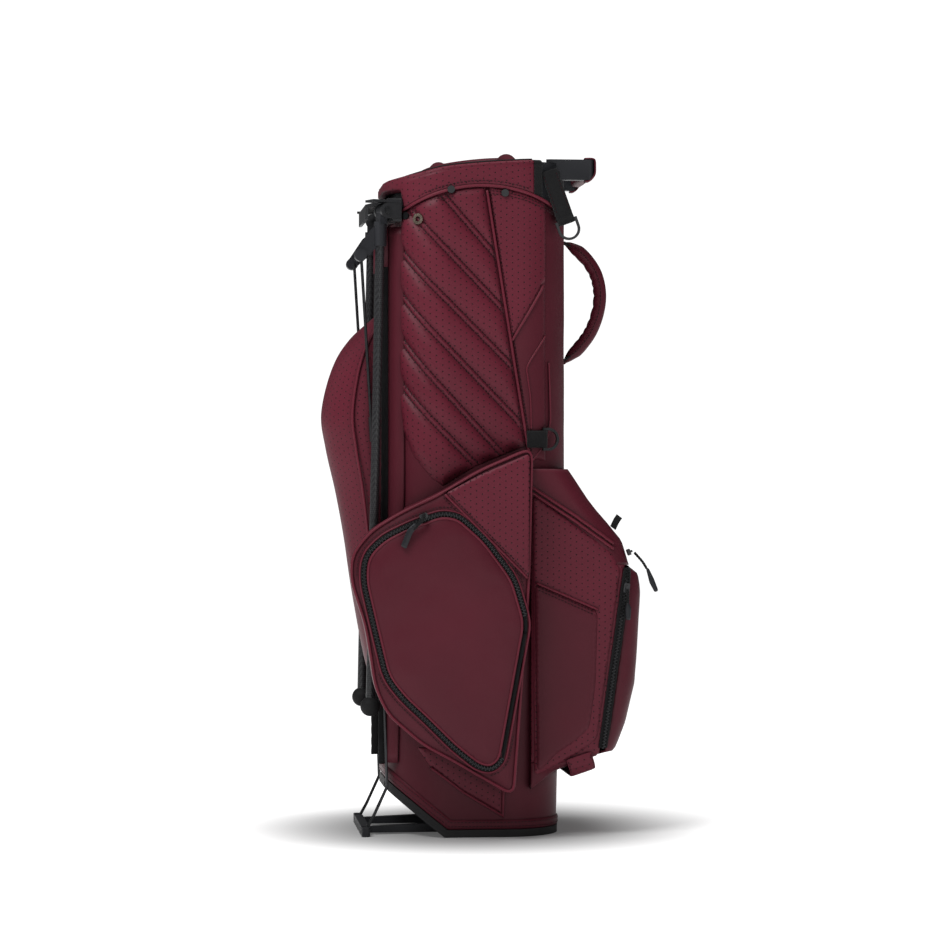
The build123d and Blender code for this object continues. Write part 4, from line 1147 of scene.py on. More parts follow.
def grown(outline, amount):
    """Closed outline moved outwards."""
    p = resample(outline, 3.0, closed=True)
    along = np.roll(p, -1, 0) - np.roll(p, 1, 0)
    along /= np.linalg.norm(along, axis=1)[:, None]
    square = np.stack([along[:, 1], -along[:, 0]], 1)
    area = np.sum(p[:, 0] * np.roll(p[:, 1], -1) - np.roll(p[:, 0], -1) * p[:, 1])
    return p + square * (amount if area > 0 else -amount)


POCKET = ((58, 510), (-11, 480), (-60, 451), (-113, 426), (-151, 403), (-176, 372), (-177, 338), (-158, 280),
          (-151, 236), (-146, 201), (-130, 166), (-84, 126), (-48, 107), (34, 59), (54, 339))
LID = ((46, 283), (30, 338), (-7, 388), (-40, 417), (-60, 420), (-97, 407), (-133, 390), (-155, 368),
       (-157, 338),
       (-140, 266), (-128, 216), (-108, 190), (-77, 161), (-42, 126), (-13, 103), (2, 98), (14, 108))
pocket_outline = rounded(POCKET, 16)
lid_outline = rounded(LID, 14)
FRONT_Y = 162.0
PIPE = 2.1


def pocket_depth(x):
    """How far back the pocket's rim reaches: to the tube, or to the wing's own back beside the legs."""
    beyond = np.clip(np.abs(x + 6) - FLAT_X, 0, TUBE_R - 3)
    tube = FLAT_Y + np.sqrt(TUBE_R ** 2 - beyond ** 2)
    return np.where(x < -104, 119.0, tube - 6)


def pocket_front(flat, distance):
    rough = slow(np.column_stack([flat, np.zeros(len(flat))]), 0.013, 1.6)
    return FRONT_Y - 5.0 + 5.5 * (1 - np.exp(-(distance / 9.0) ** 1.3)) + rough * np.clip(distance / 20, 0, 1)


def near_side_place(flat, out):
    return np.stack([flat[:, 0], -out, flat[:, 1]], 1)


points, faces, flat, _ = pillow(pocket_outline, 4.2, near_side_place, pocket_front,
                                back=lambda f, d: pocket_depth(f[:, 0]))
lid_hole = grown(lid_outline, 0.5)
centre = inside(flat, lid_hole)
count = len(flat) // 2
deep = points[:count]
inner = centre[:count] & (edge_distance(flat[:count], lid_hole) > 2.0)
deep[inner, 1] = -(FRONT_Y - 7.0)
pocket = mesh_piece("near_pocket_leather", points, faces, LEATHER, "bag", "leather", uv=flat)
outward(pocket.data)
pocket_sides = pocket.modifiers.new("side_loops", "EDGE_SPLIT")
pocket_sides.split_angle = math.radians(62)
far_pocket = other_side(pocket, narrow=True)
far_sides = far_pocket.modifiers.new("side_loops", "EDGE_SPLIT")
far_sides.split_angle = math.radians(62)
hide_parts("near_pocket_body")
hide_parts("far_pocket_body")

ring = resample(grown(pocket_outline, -0.8), 4.5, closed=True)
pocket_piping = tube_piece("near_pocket_piping", at_depth(ring, -FRONT_Y + 3.6),
                           PIPE, PIPING_PAINTED_HIGHLIGHT, "bag", "leather", closed=True)
other_side(pocket_piping, narrow=True)


def face_patch(name, outline, low, high, material, node_slot, body="bag", spacing=3.6, twin=True, soft=5.0):
    """Sewn-on piece of leather on the pocket's front."""
    made = pillow(outline, spacing, near_side_place,
                  lambda f, d: low + (high - low) * (1 - np.exp(-(d / soft) ** 1.4)),
                  back=level(low - 0.6))
    piece = mesh_piece(f"near_{name}", made[0], made[1], material, body, node_slot, uv=made[2])
    outward(piece.data)
    if twin:
        other_side(piece, body, narrow=True)
    return piece


corner = rounded(((54, 502), (-11, 474), (-56, 450), (50, 342), (53, 345)), 5)
face_patch("pocket_perforated_corner", corner, FRONT_Y + 0.6, FRONT_Y + 2.0, PERFORATED, "leather_perforated")
seam_line = resample([(-56, 449), (51, 341)], 4)
corner_pipe = tube_piece("near_corner_piping",
                         at_depth(seam_line, -FRONT_Y - 1.2),
                         1.7, PIPING_PAINTED_HIGHLIGHT, "bag", "leather")
other_side(corner_pipe, narrow=True)


def flat_stitches(name, lines, y, body, twin=True, twin_body=None, material=None):
    rows = []
    for line in lines:
        line = np.asarray(line, float)
        path = at_depth(line, -y)
        rows.append((path, np.tile((0, -1.0, 0), (len(line), 1))))
    piece = stitches(f"near_{name}", rows, body, material)
    if twin:
        other_side(piece, twin_body or body, narrow=body == "bag" and "pocket" in name)
    return piece


square = np.array([0.711, 0.703])
flat_stitches("corner_stitches", [seam_line + square * 4.5, seam_line - square * 4.5], FRONT_Y + 1.9, "bag")

# Zip round the lid: tape, teeth and the edge of the pocket beside it.
ZIP_FROM, ZIP_TO = (44, 292), (16, 110)
ring = resample(grown(lid_outline, 4.3), 2.2, closed=True)
start = int(np.argmin(np.linalg.norm(ring - ZIP_FROM, axis=1)))
ring = np.roll(ring, -start, 0)
stop = int(np.argmin(np.linalg.norm(ring - ZIP_TO, axis=1)))
zip_line = ring[:stop + 1] if np.min(ring[:stop + 1, 0]) < -100 else ring[stop:][::-1]


def teeth(name, path, normal, body, pitch=2.2, reach=2.1):
    """Moulded zip teeth, one for each step along the path, leaning left and right in turn."""
    path = resample(path, pitch)
    along = np.gradient(path, axis=0)
    along /= np.linalg.norm(along, axis=1)[:, None]
    parts = []
    for i, (here, run) in enumerate(zip(path, along)):
        n = np.asarray(normal, float) if np.ndim(normal) == 1 else normal
        side = np.cross(run, n)
        shift = side * (0.75 if i % 2 else -0.75)
        ring = []
        for u, v, w in ((-1, -1, 0), (1, -1, 0), (1, 1, 0), (-1, 1, 0), (-0.8, -0.7, 1), (0.8, -0.7, 1),
                        (0.8, 0.7, 1),
                        (-0.8, 0.7, 1)):
            ring.append(here + shift + side * u * reach + run * v * pitch * 0.33 + n * (0.2 + w * 1.2))
        parts.append((np.array(ring), [(3, 2, 1, 0), (4, 5, 6, 7), (0, 1, 5, 4), (1, 2, 6, 5), (2, 3, 7, 6),
                                       (3, 0, 4, 7)]))
    points, faces = joined(parts)
    return mesh_piece(name, points, faces, ZIP_METAL, body, "zip_metal", smooth=False)


zip_path = at_depth(zip_line, -FRONT_Y - 1.9)
run = np.gradient(zip_path, axis=0)
run /= np.linalg.norm(run, axis=1)[:, None]
zip_across = np.cross(run, (0, 1.0, 0))
tape = ribbon("near_lid_zip_tape", zip_path, zip_across, 6.6, 1.4, ZIP_TAPE, "bag", "zip_tape", rows=7)
other_side(tape, narrow=True, node="pocket_zips")
# Dark tape in the gap all round the lid: partly zip tape seen in that gap, partly painted shade in the gap
# between lid and pocket.
gap_line = resample(grown(lid_outline, 4.2), 4.0, closed=True)
gap_line = np.vstack([gap_line, gap_line[:2]])
gap_path = at_depth(gap_line, -FRONT_Y - 1.0)
gap_run = np.gradient(gap_path, axis=0)
gap_run /= np.linalg.norm(gap_run, axis=1)[:, None]
gap_tape_and_painted_shade = ribbon("near_lid_backing", gap_path, np.cross(gap_run, (0, 1.0, 0)), 4.6, 0.8, ZIP_TAPE, "bag",
                  "zip_tape", rows=5)
other_side(gap_tape_and_painted_shade, narrow=True)
lid_teeth = teeth("near_lid_zip_teeth", zip_path + (0, -0.7, 0), (0, -1.0, 0), "bag")
other_side(lid_teeth, narrow=True)
edge_ring = resample(grown(lid_outline, 9.4), 4.0, closed=True)
zip_edge = tube_piece("near_zip_edge_piping",
                      at_depth(edge_ring, -FRONT_Y - 0.6),
                      1.5, PIPING_PAINTED_HIGHLIGHT, "bag", "leather", closed=True)
other_side(zip_edge, narrow=True)
outer_rows = [np.vstack([r, r[:1]]) for r in (resample(grown(lid_outline, 13.5), 3, closed=True),)]
keep_rows = []
for row in outer_rows:
    mask = inside(row, pocket_outline) & (edge_distance(row, pocket_outline) > 6)
    start = 0
    for k in range(1, len(row)):
        if not mask[k]:
            if k - start > 4 and mask[start]:
                keep_rows.append(row[start:k])
            start = k + 1
    if len(row) - start > 4:
        keep_rows.append(row[start:])
flat_stitches("pocket_stitches", keep_rows, FRONT_Y + 1.0, "bag")


def lid_front(flat, distance):
    rough = slow(np.column_stack([flat, np.full(len(flat), 40.0)]), 0.014, 1.5)
    return 165.0 + 5.6 * (1 - np.exp(-(distance / 12.0) ** 1.2)) + rough * np.clip(distance / 20, 0, 1)


points, faces, flat, _ = pillow(lid_outline, 4.6, near_side_place, lid_front, back=level(160.6))
lid = mesh_piece("near_lid_leather", points, faces, LEATHER, "near_lid", "leather", uv=flat)
outward(lid.data)
inflate(lid, 0.35, 2.6)
rounder(lid)
far_lid = other_side(lid, "far_lid", narrow=True)
rounder(far_lid)
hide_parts("near_pocket_lid")
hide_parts("far_pocket_lid")
ring = resample(grown(lid_outline, -0.9), 4.0, closed=True)
lid_piping = tube_piece("near_lid_piping", at_depth(ring, -165.4), 1.9,
                        PIPING_PAINTED_HIGHLIGHT, "near_lid", "leather", closed=True)
other_side(lid_piping, "far_lid", narrow=True)


def braided_pull(name, path, radius, body):
    """Short braided loop of a zip pull: three twisted strands."""
    path = spline(path, 40)
    parts = []
    run = np.gradient(path, axis=0)
    run /= np.linalg.norm(run, axis=1)[:, None]
    side = np.cross(run, (0, 1.0, 0.01))
    side /= np.linalg.norm(side, axis=1)[:, None]
    over = np.cross(run, side)
    for phase in range(3):
        angle = np.linspace(0, 14, 40) + phase * 2 * math.pi / 3
        twist = path + (np.cos(angle)[:, None] * side + np.sin(angle)[:, None] * over) * radius * 0.5
        parts.append(tube_mesh(twist, radius * 0.6, sides=7))
    points, faces = joined(parts)
    return mesh_piece(name, points, faces, WEBBING, body, "webbing")


def moulded_tab(name, outline, y_near, y_far, body):
    """Rounded moulded grip of a zip pull."""
    made = pillow(rounded(outline, 2.2, 5), 1.3, lambda f, o: np.stack([f[:, 0], -o, f[:, 1]], 1),
                  lambda f, d: y_near - 1.0 + 1.1 * (1 - np.exp(-(d / 1.1) ** 1.3)),
                  back=lambda f, d: y_far + 1.0 - 1.1 * (1 - np.exp(-(d / 1.1) ** 1.3)))
    piece = mesh_piece(name, made[0], made[1], PLASTIC, body, "moulded_plastic")
    outward(piece.data)
    return piece


tab = moulded_tab("near_pull_tab", ((-92, 409), (-99, 399), (-107, 379), (-114, 383), (-105, 405),
                                    (-96, 413)), 176.0,
                  172.6, "near_zip_pull")
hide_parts("near_zip_pull")
cord_loop = braided_pull("near_pull_cord", [(-83.5, -173.6, 424), (-85, -174.4, 417), (-91, -174.4, 411),
                                            (-98, -174.3, 404)],
                         2.0, "near_zip_pull")
far_tab = other_side(tab, "far_zip_pull")
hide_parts("far_zip_pull")
other_side(cord_loop, "far_zip_pull")

# ---- Ball pocket ---------------------------------------------------------------------------------------

BALL_FRONT = np.array(((484, 113), (443, 140), (410, 166), (388, 184), (357, 195), (344, 208), (318, 210),
                       (279, 208),
                       (200, 202), (148, 190), (110, 176), (103, 150), (86, 99), (62, 60)), float)[::-1]
BALL_HALF, BALL_CORNER = 112.0, 28.0


def ball_front_x(z):
    return np.interp(z, BALL_FRONT[:, 0], BALL_FRONT[:, 1])


def zip_x(z):
    """The zip's inner edge in side view."""
    return 150.0 + (np.asarray(z, float) - 96.0) * 36.0 / 256.0


def ball_section(z, grow=0.0):
    """Outline of the ball pocket at a height, from the tube's near side round to its far side."""
    front = float(ball_front_x(z)) + grow
    half = BALL_HALF + grow
    radius = min(BALL_CORNER, max(3.0, front - 64.0))
    start = 62.0
    points = [(start, -half)]
    for k in range(13):
        angle = -math.pi / 2 + math.pi / 2 * k / 12
        points.append((front - radius + radius * math.cos(angle),
                       -(half - radius) + radius * math.sin(angle)))
    points += [(x, -y) for x, y in reversed(points)]
    return resample(points, 1.0)


def ball_skin(name, rows, first, last, columns, material, body, node, bulge=2.0):
    """Skin between two places on each section; first and last give their distance along it."""
    grid, uv = [], []
    for z in rows:
        section = ball_section(z)
        steps = np.concatenate([[0], np.cumsum(np.linalg.norm(np.diff(section, axis=0), axis=1))])
        a, b = first(section, steps, z), last(section, steps, z)
        for t in np.linspace(a, b, columns):
            x, y = np.interp(t, steps, section[:, 0]), np.interp(t, steps, section[:, 1])
            grid.append((x, y, z))
            uv.append((t, z))
    grid = np.array(grid)
    n = len(rows)
    work = grid.reshape(n, columns, 3)
    du = np.gradient(work, axis=1)
    dv = np.gradient(work, axis=0)
    normal = np.cross(du, dv)
    normal /= np.linalg.norm(normal, axis=2)[:, :, None] + 1e-9
    u = np.linspace(0, 1, columns)[None, :]
    v = np.linspace(0, 1, n)[:, None]
    swell = bulge * (1 - (2 * u - 1) ** 6) * (1 - (2 * v - 1) ** 6)
    rough = slow(grid, 0.013, 1.3).reshape(n, columns)
    grid = (work + normal * (swell - bulge * 0.6 + rough * np.minimum(1, swell / max(bulge, 0.1)))[:, :,
                                                                                                   None])
    faces = grid_faces(n, columns)
    piece = mesh_piece(name, grid.reshape(-1, 3), faces, material, body, "leather", uv=uv)
    thicken(piece, 3.0, -1.0)
    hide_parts(node)
    return piece


def at_zip(extra):
    """Distance along a section to the zip line, moved by extra."""
    def find(section, steps, z):
        near = section[:len(section) // 2]
        k = int(np.argmax(near[:, 0] >= float(zip_x(z)) + extra))
        return float(steps[k]) if near[:, 0].max() >= float(zip_x(z)) + extra else float(steps[len(near) -
                                                                                               1]) * 0.5
    return find


def mirrored(find):
    return lambda section, steps, z: float(steps[-1]) - find(section, steps, z)


NOTCH = 356.0
side_rows = np.linspace(98, NOTCH, 46)
top_rows = np.concatenate([np.linspace(NOTCH, 384, 8), np.linspace(390, 482, 22)])
low_rows = np.linspace(63.5, 98, 12)
SECTION_START = lambda section, steps, z: 0.0
SECTION_END = lambda section, steps, z: float(steps[-1])
near_wall = ball_skin("near_ball_wall", side_rows, SECTION_START, at_zip(0.0), 26, PERFORATED, "bag",
                      "ball_pocket_body", 0.8)
far_wall = other_side(near_wall)
thicken(far_wall, 3.0, -1.0)
top_skin = ball_skin("ball_pocket_top", top_rows, SECTION_START, SECTION_END, 110, LEATHER, "bag",
                     "ball_pocket_body",
                     0.8)
ball_skin("ball_pocket_floor", low_rows, SECTION_START, SECTION_END, 90, LEATHER, "bag",
                        "ball_pocket_body", 0.4)
door_rows = np.linspace(99, NOTCH - 0.5, 50)
door = ball_skin("ball_door_leather", door_rows, at_zip(9.6), mirrored(at_zip(9.6)), 90, LEATHER, "ball_door",
                 "ball_pocket_door", 3.2)


def ball_line(corners, lift):
    """Places on the ball pocket's near side from X and Z, lifted off its leather."""
    line = resample(np.asarray(corners, float), 3.0)
    result = []
    for x, z in line:
        section = ball_section(z, lift)
        near = section[:len(section) // 2]
        k = int(np.argmin(np.abs(near[:, 0] - x)))
        result.append((near[k, 0], near[k, 1], z))
    return np.array(result)


for k, shift in enumerate((0.0, 7.0)):
    lip = ball_line([(63, 458 - shift), (120, 420.5 - shift), (171, 384 - shift)], 1.6)
    pipe = tube_piece(f"near_ball_lip_{k + 1}", lip, 2.3, PIPING_PAINTED_HIGHLIGHT, "bag", "leather")
    other_side(pipe)

# Perforated cheek between the lip and the slip pocket, and the zip beside it.
cheek = rounded(((64, 449), (168, 374), (180, 350), (149, 128), (118, 106), (90, 92), (66, 80)), 8)


def ball_place(flat, out):
    return np.stack([flat[:, 0], -out, flat[:, 1]], 1)


made = pillow(cheek, 3.8, ball_place,
              lambda f, d: BALL_HALF + 0.5 + 1.4 * (1 - np.exp(-(d / 5) ** 1.4)) -
              np.clip(f[:, 0] - (ball_front_x(f[:, 1]) - BALL_CORNER), 0, 40) ** 2 / 56,
              back=lambda f, d: BALL_HALF - 1.5 - np.clip(f[:, 0] - (ball_front_x(f[:, 1]) - BALL_CORNER), 0,
                                                          40) ** 2 / 56)
cheek_piece = mesh_piece("near_ball_cheek", made[0], made[1], PERFORATED, "bag", "leather_perforated",
                         uv=made[2])
outward(cheek_piece.data)
other_side(cheek_piece)

slip = rounded(((67, 333), (150, 297), (147, 200), (139, 142), (118, 124), (96, 110), (70, 84)), 10)
made = pillow(slip, 4.0, ball_place, puffed(BALL_HALF + 1.9, 1.6, 6),
              back=level(BALL_HALF + 0.6))
slip_piece = mesh_piece("near_slip_pocket", made[0], made[1], LEATHER, "bag", "leather", uv=made[2])
outward(slip_piece.data)
other_side(slip_piece, node="slip_pockets")
flat_stitches("slip_stitches", [resample([(70, 328), (147, 294)], 4), resample([(70, 324), (147, 290)], 4)],
              BALL_HALF + 3.4, "bag")
slip_x = np.linspace(68, 150, 20)
slip_route = np.stack([slip_x, np.full(20, -BALL_HALF - 2.6), 333.6 - (slip_x - 67) * 0.434], 1)
slip_pipe = tube_piece("near_slip_piping", slip_route, 1.8, PIPING_PAINTED_HIGHLIGHT, "bag", "leather")
other_side(slip_pipe)

z = np.linspace(116, 352, 130)
zip_points = []
for height in z:
    section = ball_section(height, 0.6)
    near = section[:len(section) // 2]
    k = int(np.argmax(near[:, 0] >= float(zip_x(height)) + 3.6))
    zip_points.append((near[k, 0], near[k, 1], height))
zip_points = np.array(zip_points)
zip_points[:, :2] = np.stack([np.convolve(np.pad(zip_points[:, k], 4, mode="edge"), np.ones(9) / 9, "valid")
                              for k in (0, 1)], 1)
front = np.array([ball_front_x(h) - BALL_CORNER for h in z])
lean = np.clip((zip_points[:, 0] - front) / BALL_CORNER, 0, 0.9)
normals = np.stack([lean, -np.sqrt(1 - lean ** 2), np.zeros(len(z))], 1)
across = np.stack([-normals[:, 1], normals[:, 0], np.zeros(len(z))], 1)
ball_tape = ribbon("near_ball_zip_tape", zip_points, across, 11.6, 1.2, ZIP_TAPE, "bag", "zip_tape", rows=7)
other_side(ball_tape, node="ball_zip")
ball_teeth = teeth("near_ball_zip_teeth", zip_points + normals * 0.7, (0.3, -0.954, 0), "bag")
other_side(ball_teeth)

pull = moulded_tab("ball_pull_tab", ((187.4, 307), (189.6, 307), (193, 300), (192, 284), (186, 284),
                                     (185, 300)), 123.2,
                   120.2, "ball_slider_pull")
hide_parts("ball_slider_pull")
braided_pull("ball_pull_cord", [(188.5, -121.6, 324), (188.6, -121.8, 316), (188.5, -121.7, 306)], 1.7,
             "ball_slider_pull")
pull = moulded_tab("top_pull_tab", ((217, 352), (221, 351), (228, 337), (234, 321), (229, 319), (222, 332)),
                   93.6, 90.4,
                   "top_slider_pull")
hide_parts("top_slider_pull")
braided_pull("top_pull_cord", [(202, -92, 371.5), (207, -92, 366), (213, -92, 359), (218, -92, 351)], 1.7,
             "top_slider_pull")

# ---- Handles -----------------------------------------------------------------------------------------

HANDLE_ROUTE = ((119.6, 787), (130, 782), (148, 768), (163, 746), (169, 720), (166.5, 694), (157, 668),
                (143, 648),
                (129, 634), (119.6, 624))
line = spline(HANDLE_ROUTE, 110)
t = np.linspace(0, 1, 110)
grip = np.clip((np.minimum(t, 1 - t) - 0.02) / 0.10, 0, 1)
radius = 2.4 + 6.6 * grip ** 0.7
points, faces = tube_mesh(np.stack([line[:, 0], np.zeros(110), line[:, 1]], 1), radius, sides=28)
around = points.reshape(110, 28, 3)
middle = np.stack([line[:, 0], np.zeros(110), line[:, 1]], 1)[:, None, :]
to_inside = np.array([140.0, 0, 708.0]) - middle
to_inside /= np.linalg.norm(to_inside, axis=2)[:, :, None]
spoke = around - middle
length = np.linalg.norm(spoke, axis=2)[:, :, None]
inward = np.clip(np.sum(spoke * to_inside, axis=2)[:, :, None] / length, 0, 1)
creases = np.abs(np.sin(t * 46 + 0.8 * np.sin(t * 17)))[:, None, None] ** 0.7
wrinkled = middle + spoke * (1 - (1 - creases) * 0.20 * inward * grip[:, None, None])
carry = mesh_piece("carry_handle_leather", wrinkled.reshape(-1, 3), faces, LEATHER, "carry_handle", "leather")
outward(carry.data)
rounder(carry)
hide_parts("carry_handle")
stitch_line = np.stack([line[:, 0], np.full(110, -9.4), line[:, 1]], 1)[8:-8]
stitches("carry_handle_stitches", [(stitch_line, np.tile((0, -1.0, 0), (len(stitch_line), 1)))],
         "carry_handle")
for k, (strap_z, tilt) in enumerate(((784.6, 35), (631.4, -35))):
    slope = math.radians(tilt)
    lean = np.array((math.cos(slope), 0, -math.sin(slope)))
    path = np.array((124.4, 0, strap_z)) + lean * np.linspace(-5.2, 5.4, 6)[:, None]
    strap = ribbon(f"carry_handle_strap_{k + 1}", path, (0, 1, 0), 15, 3.0, WEBBING, "carry_handle",
                   "webbing", rows=7)
    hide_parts("handle_webbing")
for k, anchor_z in enumerate((789, 627)):
    patch = pillow(rounded(((-13, anchor_z - 13), (13, anchor_z - 13), (13, anchor_z + 13),
                            (-13, anchor_z + 13)), 3),
                   2.4, lambda f, o: np.stack([o, f[:, 0], f[:, 1]], 1),
                   puffed(116.0, 1.1, 1.6), back=level(115.2))
    piece = mesh_piece(f"handle_anchor_{k + 1}", patch[0], patch[1], LEATHER, "bag", "leather")
    outward(piece.data)
    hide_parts("handle_anchors")
for k, tab_z in enumerate((565, 527)):
    patch = pillow(rounded(((-12, tab_z - 7), (12, tab_z - 7), (12, tab_z + 7), (-12, tab_z + 7)), 3), 2.2,
                   lambda f, o: np.stack([o, f[:, 0], f[:, 1]], 1),
                   puffed(116.6, 2.2, 2.0), back=level(115.2))
    piece = mesh_piece(f"spine_tab_{k + 1}", patch[0], patch[1], LEATHER, "bag", "leather")
    outward(piece.data)
    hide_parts("spine_tabs")

LIFT = np.array((128.0, 0, 95.67))
LIFT_UP = np.array((-0.3162, 0, 0.9487))
LIFT_ALONG = np.array((0.9487, 0, 0.3162))
corners = ((-113.8, 11.5), (-113.9, 1), (-112.2, -5), (-102, -12.2), (-80, -12.9), (0, -13), (80, -12.9),
           (102, -12.2),
           (112.2, -5), (113.9, 1), (113.8, 11.5))
flat = spline(corners, 120)
path = LIFT + flat[:, :1] * np.array((0, 1.0, 0)) + flat[:, 1:] * LIFT_UP
lift = ribbon("lift_handle_leather", path, LIFT_ALONG, 35.0, 2.8, PERFORATED, "bag", "leather_perforated",
              rows=13)
run = np.concatenate([[0], np.cumsum(np.linalg.norm(np.diff(path, axis=0), axis=1))])
layer = lift.data.uv_layers.new(name="flat")
for loop in lift.data.loops:
    ring, place = divmod(loop.vertex_index, 26)
    layer.data[loop.index].uv = (run[ring] * MM, (place if place < 13 else 25 - place) * 2.7 * MM)
rounder(lift)
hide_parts("lift_handle")
for y, name in ((-1, "near"), (1, "far")):
    for shift in (-15.5, 15.5):
        edge = path[:14] if y < 0 else path[-14:][::-1]
        rows = [(edge[1:] + LIFT_ALONG * shift + np.array((0, 1.5 * y, 0)),
                 np.tile((0, 1.0 * y, 0), (13, 1)))]
        stitches(f"{name}_lift_stitches_{'a' if shift < 0 else 'b'}", rows, "bag")

# Leather wrap of the grab handle: a rounded sleeve.
sleeve = []
for y in np.linspace(-58, 58, 40):
    end = min(1.0, (58 - abs(y)) / 3.0) ** 0.5 if abs(y) < 58 else 0.0
    ring = []
    for k in range(26):
        angle = 2 * math.pi * k / 26
        c, s_ = math.cos(angle), math.sin(angle)
        w, h = 6.6 + 1.6 * end, 11.4 + 1.4 * end
        power = 2 / 3.6
        ring.append((145.5 + w * math.copysign(abs(c) ** power, c), y,
                     880.2 + h * math.copysign(abs(s_) ** power, s_)))
    sleeve.append(ring)
sleeve = np.array(sleeve)
faces = grid_faces(40, 26, around=True)
faces += [tuple(range(26)), tuple(39 * 26 + k for k in range(25, -1, -1))]
wrap = mesh_piece("grab_handle_leather", sleeve.reshape(-1, 3), faces, LEATHER, "bag", "leather")
outward(wrap.data)
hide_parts("grab_handle_wrap")

# Leather folded round the ends of the handle frame's arms.
end_path = spline([(138, 0, 892.4), (147, 0, 892.5), (151.2, 0, 890.5), (151.9, 0, 882), (151.4, 0, 872.5),
                   (147.4, 0, 866), (142.5, 0, 862.5), (138, 0, 862.4)], 40)
for y, name in ((-73.3, "near"), (73.3, "far")):
    ribbon(f"{name}_handle_end", end_path + (0, y, 0), (0, 1.0, 0), 14.6, 2.4, LEATHER, "bag", "leather",
           rows=7)
for y, name in ((-1, "near"), (1, "far")):
    centre, normals = on_tube(np.array([float(s_of(-83.0))]), 809.0, 1.9)
    across = np.cross((0, 0, 1.0), normals[0])
    across /= np.linalg.norm(across)
    disc = [centre[0] * (1, -y, 1)]
    for k in range(16):
        turn = 2 * math.pi * k / 16
        place = centre[0] + across * 2.3 * math.cos(turn) + np.array((0, 0, 2.3 * math.sin(turn)))
        disc.append(place * (1, -y, 1))
    faces = [(0, 1 + k, 1 + (k + 1) % 16) for k in range(16)]
    if y > 0:
        faces = [tuple(reversed(f)) for f in faces]
    mesh_piece(f"{name}_eyelet_hole", disc, faces, DARK_STITCH, "bag", "black_steel", smooth=False)

# ---- Webbing with the D-rings, and the ribbon tabs ------------------------------------------------------

UPPER = np.array((110.2, -98.0, 808.2))
UPPER_RUN = np.array((-0.337, 0, 0.941))
UPPER_ACROSS = np.array((0.941, 0, 0.337))


def fold(origin, run, out, radius, count=14):
    """Half circle of webbing folded round a ring's bar."""
    angle = np.linspace(math.pi / 2, 3 * math.pi / 2, count)
    return [origin + run * (math.cos(a) * radius) + out * (math.sin(a) * radius) for a in angle]


out = np.array((0, -1.0, 0))
front_run = [UPPER + UPPER_RUN * d + out * 1.6 for d in np.linspace(70, 6, 24)]
bend = fold(UPPER, UPPER_RUN, out, 3.6)
rear = [UPPER + UPPER_RUN * d - out * 1.8 for d in np.linspace(6, 24, 6)]
path = spline(front_run + [UPPER + out * 3.4] + bend[3:-3] + [UPPER - out * 3.4] + rear, 90)
strap = ribbon("near_upper_strap", path, UPPER_ACROSS, 22.4, 1.8, WEBBING, "bag", "webbing", rows=9)
other_side(strap, node="upper_webbing")
rows = []
for side in (-8.6, 8.6):
    line = np.array([UPPER + UPPER_RUN * d + UPPER_ACROSS * side + out * 2.7 for d in np.linspace(12, 68,
                                                                                                  30)])
    rows.append((line, np.tile(out, (30, 1))))
strap_stitches = stitches("near_upper_strap_stitches", rows, "bag", STITCH)
other_side(strap_stitches)
tab_path = np.array([(86 + d, -98.4, 868 + 2 * math.sin(d / 16 * math.pi)) for d in np.linspace(0, 16, 8)])
handle_tab = ribbon("near_handle_strap", tab_path, (0, 0, 1), 12, 2.4, WEBBING, "bag", "webbing", rows=7)
other_side(handle_tab)

turn = math.asin(21 / 70)
tangent = np.array((math.cos(turn), math.sin(turn), 0))
outwards = np.array((math.sin(turn), -math.cos(turn), 0))
mid = np.array((66.0, -36 - 70 * math.cos(turn), 521.0)) + outwards * 3.8 + tangent * 14
back_run = -tangent
front_run = [mid + back_run * d + outwards * 1.5 for d in np.linspace(25, 6, 10)]
bend = fold(mid, back_run, outwards, 3.6)
path = spline(front_run + [mid + outwards * 3.4] + bend[3:-3] + [mid - outwards * 1.4], 50)
mid_strap = ribbon("near_mid_strap", path, (0, 0, 1), 22.4, 1.6, WEBBING, "bag", "webbing", rows=9)
other_side(mid_strap, node="mid_webbing")

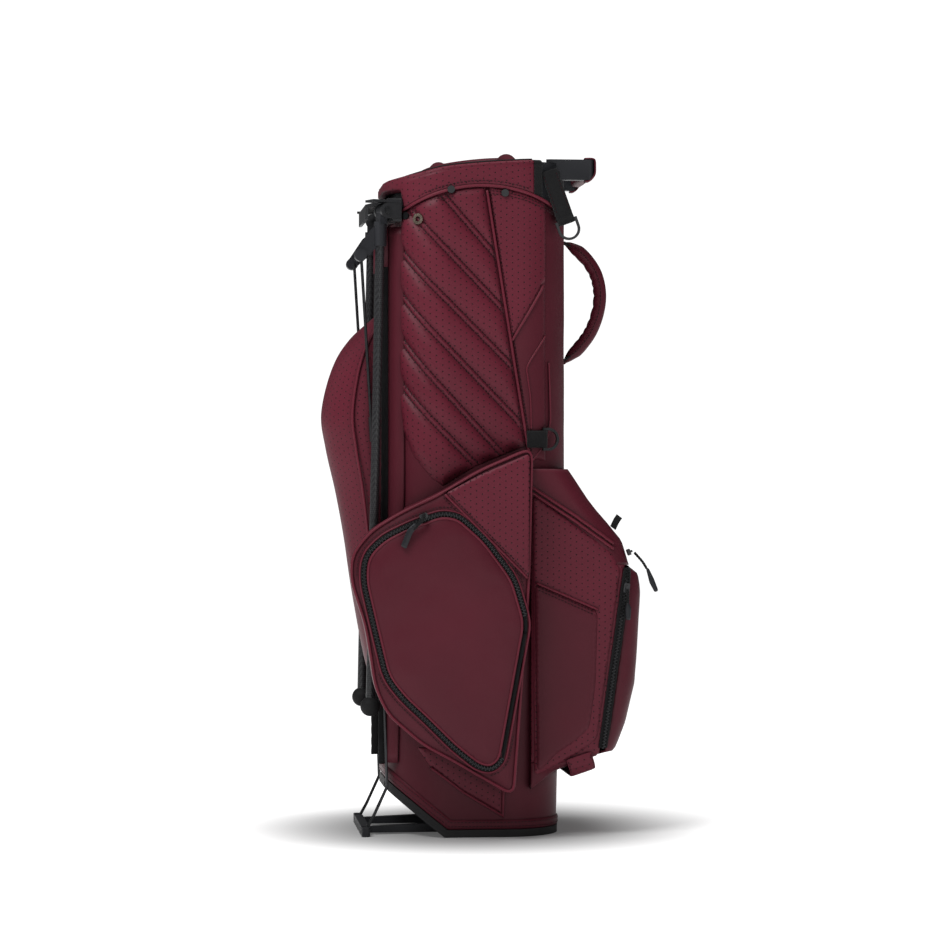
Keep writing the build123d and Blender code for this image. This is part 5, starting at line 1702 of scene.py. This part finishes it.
ribbon_path = spline([(173, -93.4, 404), (177, -95.4, 413), (181.6, -93.6, 419.6)], 14)
tab = ribbon("near_ribbon_tab", ribbon_path, (0.8, 0, -0.6), 9.0, 1.2, WEBBING, "bag", "webbing", rows=7)
other_side(tab, node="ribbon_tabs")

# ---- Finishes of the moulded, rubber and metal parts, and the floor --------------------------------------

FINISH = {
    "boot_plastic": BOOT, "moulded_plastic": PLASTIC, "bracket_plastic": BRACKET, "rubber": RUBBER,
    "zip_metal": ZIP_METAL, "black_steel": BLACK_STEEL, "pin_steel": PIN_STEEL, "nickel": NICKEL,
    "carbon": CARBON,
    "webbing": WEBBING, "zip_tape": ZIP_TAPE, "lining": LINING, "leather": LEATHER, "padded_leather": LEATHER,
    "leather_perforated": PERFORATED,
}
node_slots = {row["node"]: row["material_slot"] for row in frame["record"]["subparts"]}
for node, thing in frame["nodes"].items():
    chosen = FINISH.get(node_slots.get(node), PLASTIC)
    for place in thing.material_slots:
        place.material = chosen
    if not thing.material_slots:
        thing.data.materials.append(chosen)

floor_data = bpy.data.meshes.new("floor")
half = 9.0
floor_data.from_pydata([(-half, -half, 0), (half, -half, 0), (half, half, 0), (-half, half, 0)], [],
                       [(0, 1, 2, 3)])
floor = bpy.data.objects.new("floor", floor_data)
bpy.context.scene.collection.objects.link(floor)
floor_shader = Shader("pale_floor_painted_shadow", (0.86, 0.86, 0.86), 0.7, specular=0.1)
floor_shader.bsdf.inputs["Emission Color"].default_value = (1, 1, 1, 1)
# Painted shadow: within about 0.44 m of the middle the floor glows less, down to 0.08, and its colour darkens
# towards 0.3, a contact shadow painted round the bag's base; further out it glows evenly to stay as pale as
# the backdrop.
floor_glow_painted_shadow = floor_shader.node("ShaderNodeMapRange", interpolation_type="SMOOTHSTEP")
for socket, value in (("From Min", 0.12), ("From Max", 0.44), ("To Min", 0.08), ("To Max", FLOOR_GLOW)):
    floor_glow_painted_shadow.inputs[socket].default_value = value
away = floor_shader.node("ShaderNodeVectorMath", operation="LENGTH")
floor_shader.link(floor_shader.coord.outputs["Object"], away.inputs[0])
floor_shader.link(away.outputs["Value"], floor_glow_painted_shadow.inputs["Value"])
floor_shader.link(floor_glow_painted_shadow.outputs["Result"], floor_shader.bsdf.inputs["Emission Strength"])
# floor colour from 0.3 near the bag to 0.86 further out: painted shadow
floor_shader.paint(floor_shader.mix(floor_shader.math("DIVIDE", floor_glow_painted_shadow.outputs["Result"], FLOOR_GLOW),
                                    (0.3, 0.3, 0.3), (0.86, 0.86, 0.86)))
floor_data.materials.append(floor_shader.material)
